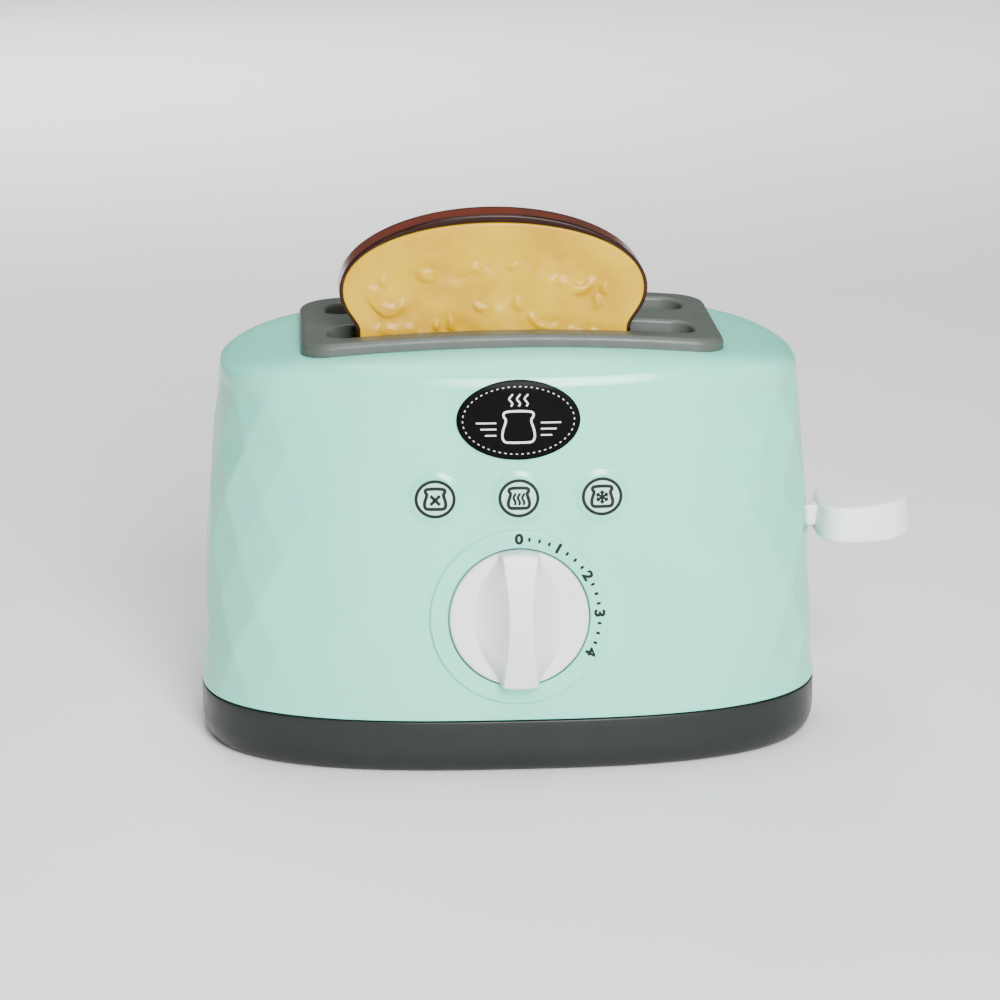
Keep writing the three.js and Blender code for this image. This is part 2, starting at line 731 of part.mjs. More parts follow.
function buildCrumb(side) {
  const surface = slotCentres.front + (side * sliceThickness) / 2;
  const outer = surface - side * crumbSink;
  const inner = surface - side * (crumbRecess + crumbSink - gap);
  const [near, far] = [outer, inner].sort((a, b) => a - b);
  return slicePrism(crustRim + sliceEdge + gap, near, far);
}

// Carriage: a shelf in each well, a cross bar at each end, guide bosses, spring ears, lug and lever arm
const paddleMiddleZ = (armTop + armBottom) / 2;
const paddleLowest = Math.max(paddleMiddleZ - paddleHeight / 2 - travel, baseHeight);
const paddleStart = endWallAt(paddleLowest) + paddleStandOff;
const paddleCentre = paddleStart + paddleInner;
const armEnd = paddleStart + armInPaddle;
const paddleScrewSeat = armEnd + gap + paddleScrewLand;
const lugNear = latchLayer.near - gap;
const lugFar = latchLayer.far + gap;
const fromTimer = (depth, z) => new THREE.Vector3(0, depth, z).applyMatrix4(timer.matrix);
const lugYNear = fromTimer(lugNear, -plateBottom).y;
const lugYFar = fromTimer(lugFar, plateTop / 2).y;
const lugLeft = plateRight + gap;
const lugTop = fromTimer(latchLayer.far, latchPivotZ - latchDrop).z + travel - gap;

function buildCarriage() {
  const pieces = [];
  const reach = slotHalfLength - shelfEndInset;
  const underShelf = shelfTop - shelfThickness;
  for (const y of Object.values(slotCentres)) {
    pieces.push(box([-reach, y - shelfHalfWidth, underShelf], [reach, y + shelfHalfWidth, shelfTop]));
    const neckLow = [-crossBarOuter, y - neckHalfWidth, armBottom];
    pieces.push(box(neckLow, [crossBarOuter, y + neckHalfWidth, underShelf + weld]));
  }
  const barHalf = slotPitch / 2 + neckHalfWidth;
  for (const side of [-1, 1]) {
    const [low, high] = [side * crossBarInner, side * crossBarOuter].sort((a, b) => a - b);
    pieces.push(box([low, -barHalf, armBottom], [high, barHalf, armTop]));
    const [inner, outer] = [side * crossBarInner, side * guideX].sort((a, b) => a - b);
    pieces.push(box([inner, -armHalfWidth, armBottom], [outer, armHalfWidth, armTop]));
    pieces.push(rodZ(guideBossRadius, side * guideX, 0, armBottom - earReach, armTop + earReach));
    const earOut = side * (guideX + springRadius);
    const [earLow, earHigh] = [side * crossBarInner, earOut].sort((a, b) => a - b);
    const earNear = springOffset - springRadius;
    pieces.push(box([earLow, earNear, armBottom], [earHigh, springOffset + springRadius, armTop]));
    const post = [armTop - weld, armTop + springPostLength];
    pieces.push(rodZ(springPostRadius, side * guideX, springOffset, ...post, smallSteps));
  }
  pieces.push(box([guideX, -armHalfWidth, armBottom], [armEnd, armHalfWidth, armTop]));
  pieces.push(box([lugLeft, lugYNear, lugTop - latchArm], [crossBarOuter, lugYFar, lugTop]));
  pieces.push(box([crossBarInner, lugYNear, lugTop - latchArm], [crossBarOuter, -barHalf + weld, lugTop]));
  let carriage = join(...pieces);
  for (const side of [-1, 1]) {
    const low = armBottom - earReach - overrun;
    const high = armTop + earReach + overrun;
    carriage = cut(carriage, rodZ(guideRadius + running, side * guideX, 0, low, high));
  }
  const pilotStart = armEnd - paddleScrewLength - gap;
  return cut(carriage, rodX(screwRadius + gap, 0, paddleMiddleZ, pilotStart, armEnd + overrun, smallSteps));
}

// Paddle: an egg-shaped push pad with a socket for the arm and a screw from its tip
function buildPaddle() {
  const low = paddleMiddleZ - paddleHeight / 2;
  const high = low + paddleHeight;
  const ringAt = (inset, height, slope) =>
    Array.from({ length: paddleSteps }, (unused, i) => {
      const angle = (i / paddleSteps) * Math.PI * 2;
      const reach = Math.cos(angle) > 0 ? paddleOuter : paddleInner;
      const x = (reach - inset) * Math.cos(angle);
      const y = (paddleHalfWidth - inset) * Math.sin(angle);
      return new THREE.Vector3(paddleCentre + x, y, height + x * slope);
    });
  const slope = paddleTopSlopeShare;
  const soft = paddleEdge * softEdgeShare;
  const body = loft([
    ringAt(paddleEdge / 2, low, 0),
    ringAt(0, low + paddleEdge / 2, 0),
    ringAt(paddleDraft, high - paddleEdge, slope),
    ringAt(paddleDraft + soft, high - soft, slope),
    ringAt(paddleDraft + paddleEdge, high, slope),
  ]);
  const socketLow = [paddleStart - overrun, -armHalfWidth - gap, armBottom - gap];
  const socket = box(socketLow, [armEnd + gap, armHalfWidth + gap, armTop + gap]);
  const tip = paddleCentre + paddleOuter;
  const well = rodX(screwHeadRadius + gap, 0, paddleMiddleZ, paddleScrewSeat, tip + overrun);
  const bore = rodX(screwRadius + gap, 0, paddleMiddleZ, armEnd, tip, smallSteps);
  return cut(body, socket, well, bore);
}

// Knob: a round disc with softened edge and an hourglass grip bar across it
function buildKnob() {
  const back = -dialProud - knobStandOff;
  const face = back - knobDisc;
  const soft = knobEdge * softEdgeShare;
  const profile = [
    new THREE.Vector2(0, -back),
    new THREE.Vector2(knobRadius, -back),
    new THREE.Vector2(knobRadius, -face - knobEdge),
    new THREE.Vector2(knobRadius - soft, -face - soft),
    new THREE.Vector2(knobRadius - knobEdge, -face),
    new THREE.Vector2(0, -face),
  ];
  const lathe = new THREE.LatheGeometry(profile, bigSteps);
  const disc = solid(lathe.rotateX(Math.PI));
  const barShape = (inset) => {
    const end = knobBarHalfEnd - inset;
    const middle = knobBarHalfMiddle - inset;
    const reach = knobRadius + overrun;
    const shape = new THREE.Shape();
    shape.moveTo(end, -reach);
    shape.quadraticCurveTo(2 * middle - end, 0, end, reach);
    shape.lineTo(-end, reach);
    shape.quadraticCurveTo(end - 2 * middle, 0, -end, -reach);
    return shape;
  };
  const top = face - knobBarHeight;
  const round = rodY(knobRadius, 0, 0, top, face + weld, bigSteps);
  const cap = rodY(knobRadius - knobEdge, 0, 0, top, face + weld, bigSteps);
  const low = prismY(barShape(0), top + knobEdge, face + weld).intersect(round);
  const high = prismY(barShape(knobEdge - soft), top, top + knobEdge + weld).intersect(cap);
  const bore = rodY(arborRadius + gap, 0, 0, back - arborInKnob - gap, back + overrun);
  return cut(join(disc, low, high), bore);
}

// A thin oval sheet that follows the housing's skin
function buildBadge() {
  const outside = loft(housingRings(-badgeThickness - gap, baseHeight));
  const shell = cut(outside, loft(housingRings(-gap, baseHeight - overrun)));
  const oval = new THREE.Shape();
  oval.absellipse(0, badgeHeight, badgeHalfWidth, badgeHalfHeight, 0, Math.PI * 2);
  const far = faceAt(0, badgeHeight) + badgeHalfHeight;
  return prismY(oval, faceAt(0, baseHeight) - overrun, far, roundSteps).intersect(shell);
}

// A round sleeve along Y
const ring = (outer, bore, place, layer) =>
  cut(
    rodY(outer, place.x, place.z, layer.near, layer.far),
    rodY(bore, place.x, place.z, layer.near - overrun, layer.far + overrun),
  );

const arborPlace = { x: 0, z: 0 };
const latchPlace = { x: latchPivotX, z: latchPivotZ };
const mainPhase = THREE.MathUtils.degToRad(middleDirectionDegrees);
const middlePinionPhase = mainPhase + Math.PI + Math.PI / middlePinionTeeth;
const middlePhase = THREE.MathUtils.degToRad(escapeDirectionDegrees);
const escapePinionPhase = middlePhase + Math.PI + Math.PI / escapePinionTeeth;
const boreOf = (radius, place) => rodY(radius, place.x, place.z, 0, timerBack + overrun, smallSteps);

function buildPlate(near) {
  const shape = new THREE.Shape();
  shape.moveTo(-plateLeft, -plateBottom);
  shape.lineTo(plateRight, -plateBottom);
  shape.lineTo(plateRight, plateTop);
  shape.lineTo(-plateLeft, plateTop);
  let plate = prismY(shape, near, near + plateThickness);
  const pins = [middlePlace, escapePlace, palletPlace, latchPlace];
  pins.forEach((place) => (plate = cut(plate, boreOf(pinRadius + gap, place))));
  pillarPlaces.forEach((place) => (plate = cut(plate, boreOf(screwRadius + gap, place))));
  return cut(plate, boreOf(arborRadius + running, arborPlace));
}

function buildMainGear() {
  const gear = prismY(gearShape(mainTeeth, arborPlace, mainPhase), mainLayer.near, mainLayer.far);
  return cut(gear, boreOf(arborRadius + gap, arborPlace));
}

function buildMiddleGear() {
  const wheelShape = gearShape(middleTeeth, middlePlace, middlePhase);
  const wheel = prismY(wheelShape, middleLayer.near, middleLayer.far);
  const pinionShape = gearShape(middlePinionTeeth, middlePlace, middlePinionPhase);
  const pinion = prismY(pinionShape, middleLayer.far - weld, mainLayer.far);
  return cut(join(wheel, pinion), boreOf(pinRadius + running, middlePlace));
}

function buildEscapeGear() {
  const phase = Math.PI / 2 + Math.PI / escapeTeeth;
  const rootRadius = escapeRadius - escapeToothDepth;
  const shape = toothedShape(escapeTeeth, escapePlace, phase, rootRadius, escapeRadius, escapeToothShares);
  const wheel = prismY(shape, escapeLayer.near, escapeLayer.far);
  const pinionShape = gearShape(escapePinionTeeth, escapePlace, escapePinionPhase);
  const pinion = prismY(pinionShape, escapeLayer.far - weld, middleLayer.far);
  return cut(join(wheel, pinion), boreOf(pinRadius + running, escapePlace));
}

// A straight flat bar between two places
function bar(from, to, width, layer) {
  const length = Math.hypot(to.x - from.x, to.z - from.z);
  const half = width / 2;
  const side = { x: ((from.z - to.z) / length) * half, z: ((to.x - from.x) / length) * half };
  const shape = new THREE.Shape();
  shape.moveTo(from.x - side.x, from.z - side.z);
  shape.lineTo(to.x - side.x, to.z - side.z);
  shape.lineTo(to.x + side.x, to.z + side.z);
  shape.lineTo(from.x + side.x, from.z + side.z);
  return prismY(shape, layer.near, layer.far);
}

function buildPallet() {
  const hub = rodY(palletHub, palletPlace.x, palletPlace.z, escapeLayer.near, escapeLayer.far, smallSteps);
  const arms = [-1, 1].map((side) => {
    const turn = 90 + (side * palletSpanDegrees) / 2;
    const step = direction(turn, escapeRadius + gap + palletArm / 2);
    const tip = { x: escapePlace.x + step.x, z: escapePlace.z + step.z };
    return bar(palletPlace, tip, palletArm, escapeLayer);
  });
  return cut(join(hub, ...arms), boreOf(pinRadius + running, palletPlace));
}

// Release cam: falls away at a steady rate while the knob is wound, with a short ramp back up
function buildCam() {
  const drop = (latchPivotX - latchTipX) * Math.sin(THREE.MathUtils.degToRad(latchSwingDegrees));
  const fallShare = knobTurnDegrees / 360;
  const shape = new THREE.Shape();
  for (let i = 0; i < camSteps; i++) {
    const share = i / camSteps;
    const fallen = Math.min(share / fallShare, 1);
    const risen = Math.max(0, (share - 1 + camRampShare) / camRampShare);
    const radius = camHigh - drop * Math.max(0, fallen - risen);
    const angle = Math.PI / 2 + share * Math.PI * 2;
    const [x, z] = [radius * Math.cos(angle), radius * Math.sin(angle)];
    if (i === 0) shape.moveTo(x, z);
    else shape.lineTo(x, z);
  }
  return cut(prismY(shape, latchLayer.near, latchLayer.far), boreOf(arborRadius + gap, arborPlace));
}

// Latch hook, drawn as the cam holds it open
function buildLatch() {
  const { near, far } = latchLayer;
  const hub = rodY(latchHub, latchPivotX, latchPivotZ, near, far);
  const foot = latchPivotZ - latchDrop;
  const left = latchPivotX - latchArm / 2;
  const shape = new THREE.Shape();
  shape.moveTo(left, foot);
  shape.lineTo(left + latchArm + latchNose, foot);
  shape.lineTo(left + latchArm + latchNose, foot + latchNoseHeight / 2);
  shape.lineTo(left + latchArm, foot + latchNoseHeight);
  shape.lineTo(left + latchArm, latchPivotZ);
  shape.lineTo(left, latchPivotZ);
  const tip = { x: latchTipX, z: camHigh + gap + latchTipRadius };
  const finger = bar(latchPlace, tip, latchTipRadius * 2, latchLayer);
  const end = rodY(latchTipRadius, tip.x, tip.z, near, far, smallSteps);
  return cut(join(hub, prismY(shape, near, far), finger, end), boreOf(pinRadius + running, latchPlace));
}

// The toaster, put together
const toaster = new THREE.Group();
const body = new THREE.Group();
toaster.add(body);
body.add(timer);

mesh("housing", "mint", buildHousing(), body);
mesh("base_tray", "grey", buildBase(), body);
mesh("slot_trim", "grey", buildTrim(), body);
for (const [place, y] of Object.entries(slotCentres)) {
  mesh(`bread_well_${place}`, "grey", buildWell(y), body);
}
mesh("toast_carriage", "white", buildCarriage(), body);
mesh("lever_paddle", "white", buildPaddle(), body);
mesh("toast_crust", "crust", buildCrust(), body);
mesh("toast_face_front", "crumb", buildCrumb(-1), body);
mesh("toast_face_rear", "crumb", buildCrumb(1), body);
mesh("badge_plate", "sticker", buildBadge(), body);
[-1, 0, 1].forEach((place, i) => {
  const x = place * iconSpacing;
  const back = faceAt(x, iconHeight) - iconPadProud - gap;
  const disc = rodY(iconRadius, x, iconHeight, back - stickerThickness, back);
  mesh(`icon_sticker_${i + 1}`, "sticker", disc, body);
});

for (const [hand, side] of Object.entries({ left: -1, right: 1 })) {
  const rodTop = ceilingAt(guideX) + weld - ceilingBossLength + guideSocketDepth - gap;
  mesh(`guide_rod_${hand}`, "steel", rodZ(guideRadius, side * guideX, 0, baseFloor + gap, rodTop), body);
  const springTop = ceilingAt(guideX) + weld - ceilingBossLength - gap;
  const coil = rodZ(springRadius, side * guideX, springOffset, armTop + gap, springTop);
  const boreRadius = springRadius - springWire;
  const bore = rodZ(boreRadius, side * guideX, springOffset, armTop - overrun, springTop + overrun);
  mesh(`lift_spring_${hand}`, "steel", cut(coil, bore), body);
}

const baseScrewLength = baseHeight - baseScrewRecess + screwBite + screwBite / 2;
[-1, 1].forEach((sideX, i) =>
  [-1, 1].forEach((sideY, k) => {
    const screw = mesh(`base_screw_${i * 2 + k + 1}`, "steel", screwShape(baseScrewLength), body);
    screw.position.set(sideX * baseScrewX, sideY * baseScrewY, baseScrewRecess - gap);
  }),
);

[-1, 1].forEach((side, i) =>
  Object.values(slotCentres).forEach((y, k) => {
    const length = wellEarThickness + gap + screwBite / 2;
    const screw = mesh(`well_screw_${i * 2 + k + 1}`, "steel", screwShape(length), body);
    screw.position.set(side * wellScrewX, y, wellTop - wellEarThickness - gap);
  }),
);

const paddleScrewReach = paddleScrewLength + paddleScrewLand + gap;
const paddleScrew = mesh("paddle_screw", "steel", screwShape(paddleScrewReach), body);
paddleScrew.position.set(paddleScrewSeat + gap, 0, paddleMiddleZ);
paddleScrew.rotation.y = -Math.PI / 2;

mesh("timer_knob", "white", buildKnob(), timer);
const arborFront = -dialProud - knobStandOff - arborInKnob;
mesh("knob_arbor", "steel", rodY(arborRadius, 0, 0, arborFront, timerBack + weld), timer);
mesh("timer_front_plate", "brass", buildPlate(timerFront), timer);
mesh("timer_back_plate", "brass", buildPlate(timerBack - plateThickness), timer);
const pillarSpan = { near: timerFront + plateThickness + gap, far: timerBack - plateThickness - gap };
pillarPlaces.forEach((place, i) => {
  mesh(`timer_pillar_${i + 1}`, "brass", ring(pillarRadius, screwRadius + gap, place, pillarSpan), timer);
  const length = timerBack - wall - weld;
  const screw = mesh(`timer_screw_${i + 1}`, "steel", screwShape(length), timer);
  screw.position.set(place.x, timerBack + gap, place.z);
  screw.rotation.x = Math.PI / 2;
});
mesh("main_gear", "nylon", buildMainGear(), timer);
mesh("release_cam", "nylon", buildCam(), timer);
const springDrum = ring(springDrumRadius, arborRadius + running, arborPlace, escapeLayer);
mesh("mainspring", "steel", springDrum, timer);
mesh("middle_gear", "nylon", buildMiddleGear(), timer);
mesh("escape_gear", "nylon", buildEscapeGear(), timer);
mesh("pallet", "nylon", buildPallet(), timer);
mesh("latch_hook", "nylon", buildLatch(), timer);
const latchSpringSpan = { near: middleLayer.near, far: mainLayer.far };
const latchCoil = ring(latchSpringRadius, pinRadius + running, latchPlace, latchSpringSpan);
mesh("latch_spring", "steel", latchCoil, timer);
const pins = {
  middle_pin: middlePlace,
  escape_pin: escapePlace,
  pallet_pin: palletPlace,
  latch_pin: latchPlace,
};
for (const [name, place] of Object.entries(pins)) {
  mesh(name, "steel", rodY(pinRadius, place.x, place.z, timerFront, timerBack, smallSteps), timer);
}

// Origin in the middle of the whole outline, on the ground
const outline = new THREE.Box3().setFromObject(toaster);
const middle = outline.getCenter(new THREE.Vector3());
body.position.set(-middle.x, -middle.y, -outline.min.z);

export default toaster;
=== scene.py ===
"""A toy pop-up toaster: the visible pieces and their finishes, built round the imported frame.

Metres, +Z up, +X towards the lever, the dial faces -Y.
"""

import json
import math

import bmesh
import bpy
import numpy as np
from mathutils import Matrix, Vector, geometry, noise


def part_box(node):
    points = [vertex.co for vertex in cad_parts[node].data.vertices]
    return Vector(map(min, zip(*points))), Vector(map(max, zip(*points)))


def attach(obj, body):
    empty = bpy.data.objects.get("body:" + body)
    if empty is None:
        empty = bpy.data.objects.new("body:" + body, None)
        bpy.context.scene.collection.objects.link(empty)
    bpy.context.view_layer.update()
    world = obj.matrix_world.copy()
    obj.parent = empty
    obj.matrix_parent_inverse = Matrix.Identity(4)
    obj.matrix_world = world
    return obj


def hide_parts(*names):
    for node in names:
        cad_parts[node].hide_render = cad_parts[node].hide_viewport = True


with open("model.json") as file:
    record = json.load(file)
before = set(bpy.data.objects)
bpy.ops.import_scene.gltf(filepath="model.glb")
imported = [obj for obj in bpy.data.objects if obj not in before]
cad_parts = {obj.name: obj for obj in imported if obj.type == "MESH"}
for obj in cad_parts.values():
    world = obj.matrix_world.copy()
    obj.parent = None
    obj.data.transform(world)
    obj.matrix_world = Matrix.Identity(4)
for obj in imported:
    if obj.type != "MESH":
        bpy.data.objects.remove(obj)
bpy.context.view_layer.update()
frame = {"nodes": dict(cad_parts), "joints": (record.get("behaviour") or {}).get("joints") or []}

bl_info = {
    "name": "Toy Pop-up Toaster",
    "version": (1, 0, 0),
    "blender": (4, 5, 0),
    "location": "3D View > Sidebar > Toaster",
    "description": "Builds the visible pieces of a toy pop-up toaster and their finishes",
    "category": "Add Mesh",
}

MM = 0.001

# Places and sizes read from the frame
BASE_LOW, BASE_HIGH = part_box("base_tray")
HOUSING_LOW, HOUSING_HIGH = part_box("housing")
TRIM_LOW, TRIM_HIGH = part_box("slot_trim")
WELL_LOW, WELL_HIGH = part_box("bread_well_front")
REAR_WELL_LOW, REAR_WELL_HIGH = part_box("bread_well_rear")
CRUST_LOW, CRUST_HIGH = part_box("toast_crust")
PADDLE_LOW, PADDLE_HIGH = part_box("lever_paddle")
KNOB_LOW, KNOB_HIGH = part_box("timer_knob")
BADGE_LOW, BADGE_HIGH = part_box("badge_plate")
CARRIAGE_LOW, CARRIAGE_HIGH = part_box("toast_carriage")
SCREW_BOX = [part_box(f"base_screw_{i}") for i in range(1, 5)]
ICON_BOX = [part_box(f"icon_sticker_{i}") for i in range(1, 4)]
TIP_SCREW_LOW, TIP_SCREW_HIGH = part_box("paddle_screw")

MIDDLE = (BASE_LOW + BASE_HIGH) / 2
SEAM_HALF = (BASE_HIGH - BASE_LOW) / 2
SEAM_HEIGHT = HOUSING_LOW.z
TOP_HEIGHT = HOUSING_HIGH.z
TRIM_HALF = (TRIM_HIGH - TRIM_LOW) / 2
KNOB_JOINT = next(j for j in frame["joints"] if j["name"] == "knob_turn")
KNOB_AXIS = Vector(KNOB_JOINT["axis"])
KNOB_HEIGHT = 47.5 * MM


def linear(code):
    """An sRGB hex colour as linear RGBA."""
    parts = [int(code[i : i + 2], 16) / 255 for i in (1, 3, 5)]
    bent = [c / 12.92 if c <= 0.04045 else ((c + 0.055) / 1.055) ** 2.4 for c in parts]
    return (*bent, 1.0)


def length(name, description, default):
    return bpy.props.FloatProperty(
        name=name, description=description, default=default, precision=5, subtype="DISTANCE", unit="LENGTH"
    )


def share(name, description, default):
    return bpy.props.FloatProperty(name=name, description=description, default=default, precision=3)


def angle(name, description, degrees):
    return bpy.props.FloatProperty(
        name=name, description=description, default=math.radians(degrees), subtype="ANGLE", unit="ROTATION"
    )


def count(name, description, default):
    return bpy.props.IntProperty(name=name, description=description, default=default, min=1)


def colour(name, description, code):
    return bpy.props.FloatVectorProperty(
        name=name, description=description, default=linear(code), size=4, min=0, max=1, subtype="COLOR"
    )


class HousingSettings(bpy.types.PropertyGroup):
    end_taper: length("End taper", "How far the ends lean in from seam to shoulder", 7.4 * MM)
    face_taper: length("Face taper", "How far the faces lean in from seam to shoulder", 6.8 * MM)
    end_bow: length("End bow", "Outward swell of the ends half way up", 1.0 * MM)
    face_bow: length("Face bow", "Outward swell of the faces half way up", 0.4 * MM)
    shoulder_height: length("Shoulder height", "Where the wall starts to turn in", 113.4 * MM)
    arch_rise: length("Arch rise", "How much the top's middle stands over its ends", 3.0 * MM)
    trim_margin: length("Trim margin", "Flat strip round the trim", 1.0 * MM)
    wall: length("Wall", "Thickness of the moulding", 2.2 * MM)
    side_roundness: share("Side roundness", "Superellipse exponent of the plan", 2.75)
    top_roundness: share("Top roundness", "Superellipse exponent round the trim", 6.7)
    seam_edge: length("Seam edge", "Rounded lower edge", 0.35 * MM)
    facet_width: length("Facet width", "Spacing of the facets' corners round the end", 17.0 * MM)
    facet_height: length("Facet height", "Height between two staggered rows of corners", 15.5 * MM)
    facet_depth: length("Facet depth", "How far some corners lie under the smooth skin", 1.7 * MM)
    facet_soft: length("Facet softness", "Rounding of the creases", 0.45 * MM)
    facet_calm: share("Facet calm", "Share of the relief that stays beside the lever slot", 0.3)
    facet_lift: length("Facet lift", "How far the facets' outer corners stand over the smooth skin", 0.3 * MM)
    facet_start: length("Facet start", "Distance from the middle where the facets begin to show", 42.0 * MM)
    facet_full: length("Facet full", "Distance from the middle where they have their full relief", 66.0 * MM)
    facet_fade: length("Facet fade", "Height over which they fade at seam and shoulder", 6.0 * MM)
    slot_half_width: length("Lever slot half width", "Half width of the slot for the lever arm", 3.5 * MM)
    slot_low: length("Lever slot foot", "Lower end of the lever slot", 20.5 * MM)
    slot_high: length("Lever slot head", "Upper end of the lever slot", 66.75 * MM)
    dial_radius: length("Dial radius", "Radius of the raised disc behind the knob", 25.8 * MM)
    dial_proud: length("Dial height", "How far that disc stands out", 0.8 * MM)
    seat_radius: length("Seat radius", "Radius of the seat that the knob stands in", 20.7 * MM)
    seat_depth: length("Seat depth", "Depth of that seat under the face", 1.7 * MM)
    arbor_hole: length("Arbor hole", "Radius of the hole for the knob's arbor", 2.35 * MM)
    pad_radius: length("Pad radius", "Radius of the raised pads under the icons", 8.1 * MM)
    pad_proud: length("Pad height", "How far the pads stand out", 0.5 * MM)
    mint: colour("Mint", "Moulded mint plastic", "#79dcc5")


class BaseSettings(bpy.types.PropertyGroup):
    edge_inset: length("Edge inset", "How far the lower edge draws in", 4.2 * MM)
    edge_rise: length("Edge rise", "Height of the rounded lower edge", 7.5 * MM)
    seam_gap: length("Seam gap", "Gap under the housing", 0.35 * MM)
    lip_rise: length("Lip rise", "Height of the lip inside the housing", 3.2 * MM)
    lip_thickness: length("Lip thickness", "Thickness of that lip", 1.4 * MM)
    floor: length("Floor", "Thickness of the tray's floor", 2.4 * MM)
    recess_radius: length("Recess radius", "Radius of the screw recesses", 3.25 * MM)
    recess_depth: length("Recess depth", "Depth of the screw recesses", 8.0 * MM)
    post_radius: length("Post radius", "Radius of the screw posts", 5.0 * MM)
    # Painted shade: the same grey plastic as the trim, drawn darker for the shade low down on the tray
    grey: colour("Grey", "Moulded dark grey plastic", "#191d1c")


class TrimSettings(bpy.types.PropertyGroup):
    corner: length("Corner", "Corner radius of the trim", 9.0 * MM)
    edge: length("Edge", "Rounding of the outer edge", 1.8 * MM)
    rim: length("Rim", "Rounding of the slots' edges", 1.2 * MM)
    well_wall: length("Well wall", "Wall of the wells under the slots", 1.6 * MM)
    slot_corner: length("Slot corner", "Corner radius of the slots", 6.5 * MM)
    collar_wall: length("Collar wall", "Wall of the collar under each slot", 1.4 * MM)
    grid: length("Grid", "Spacing of the points on the top face", 3.5 * MM)
    grey: colour("Grey", "Moulded grey plastic", "#4a504b")


class SliceSettings(bpy.types.PropertyGroup):
    waist: length("Waist", "How much narrower the waist is than the lobes", 4.9 * MM)
    lobe_drop: length("Lobe drop", "Widest place under the crown", 22.0 * MM)
    waist_drop: length("Waist drop", "Waist's upper end under the crown", 34.0 * MM)
    lobe_bend: length("Lobe bend", "Roundness of the lobes' undersides", 6.0 * MM)
    waist_bend: length("Waist bend", "Roundness of the waist", 3.5 * MM)
    foot_radius: length("Foot radius", "Corners of the slice's foot", 7.0 * MM)
    crown_share: share("Crown", "Fullness of the crown's curve", 0.553)
    crumb_inset: length("Crumb inset", "Crust width round the crumb", 2.2 * MM)
    band: length("Band", "Smooth band round the crumb", 5.0 * MM)
    side_share: share("Side share", "Crust width at the sides, as a share of that at the crown", 0.45)
    dent_depth: length("Dent depth", "How deep the crumb's middle lies under its band", 0.9 * MM)
    dent_size: length("Dent size", "Size of its soft hollows", 11.0 * MM)
    ridge: length("Ridge", "Height of the crumb's curled ridges", 1.25 * MM)
    # Painted shade: the crust's rims beside the crumb are drawn towards this dark brown
    crust: colour("Crust", "Moulded brown crust", "#220a04")
    crust_light: colour("Crust light", "Paler brown of the crust's edges", "#5e2007")
    crumb: colour("Crumb", "Moulded yellow crumb", "#c79d00")
    crumb_deep: colour("Crumb deep", "Deeper yellow in patches", "#b58900")


class PaddleSettings(bpy.types.PropertyGroup):
    inner_reach: length("Inner reach", "From the widest place to the housing", 10.1 * MM)
    inner_roundness: share("Inner roundness", "Superellipse exponent of the end towards the housing", 2.9)
    height: length("Height", "Height at the widest place", 10.7 * MM)
    draft: length("Draft", "How much narrower the top is", 0.6 * MM)
    edge: length("Edge", "Rounding of the top edge", 1.5 * MM)
    lip: length("Lip", "Rounding of the lower edge", 0.7 * MM)
    slope: share("Slope", "Rise of the top face towards the tip", 0.05)
    crown: length("Crown", "Swell of the top face", 0.35 * MM)
    arm_half_width: length("Arm half width", "Half width of the arm's socket", 2.9 * MM)
    arm_half_height: length("Arm half height", "Half height of the arm's socket", 2.9 * MM)
    arm_in: length("Arm in", "Depth of the socket", 8.4 * MM)
    neck_wall: length("Neck wall", "Wall of the neck that runs in the lever slot", 0.3 * MM)
    neck_reach: length("Neck reach", "How far the neck stands out towards the housing", 2.8 * MM)
    screw_head: length("Screw head", "Radius of the screw's recess", 3.25 * MM)
    white: colour("White", "Moulded white plastic", "#ebebec")


class KnobSettings(bpy.types.PropertyGroup):
    radius: length("Radius", "Radius of the knob", 20.2 * MM)
    seat_gap: length("Seat gap", "Gap between the knob's back and its seat", 0.3 * MM)
    rim_height: length("Rim height", "Height of the rim over the housing's face", 1.5 * MM)
    bar_rise: length("Bar rise", "Height of the grip bar over the rim", 7.9 * MM)
    bar_end: length("Bar end", "Half width of the bar at its ends", 5.4 * MM)
    bar_middle: length("Bar middle", "Half width of the bar in its middle", 3.3 * MM)
    bar_root: length("Bar root", "Width of the hollow flank beside the bar", 10.5 * MM)
    bar_foot: length("Bar foot", "Width of that flank at the knob's rim", 0.8 * MM)
    end_fall: length("End fall", "How much lower the bar is at its ends", 2.9 * MM)
    scoop: length("Scoop", "Depth of the hollow beside the bar", 1.0 * MM)
    edge: length("Edge", "Rounding of the rim", 0.9 * MM)
    bore: length("Bore", "Radius of the bore in the back", 2.35 * MM)
    bore_end: length("Bore end", "Height of that bore's end over the housing's face", 7.65 * MM)


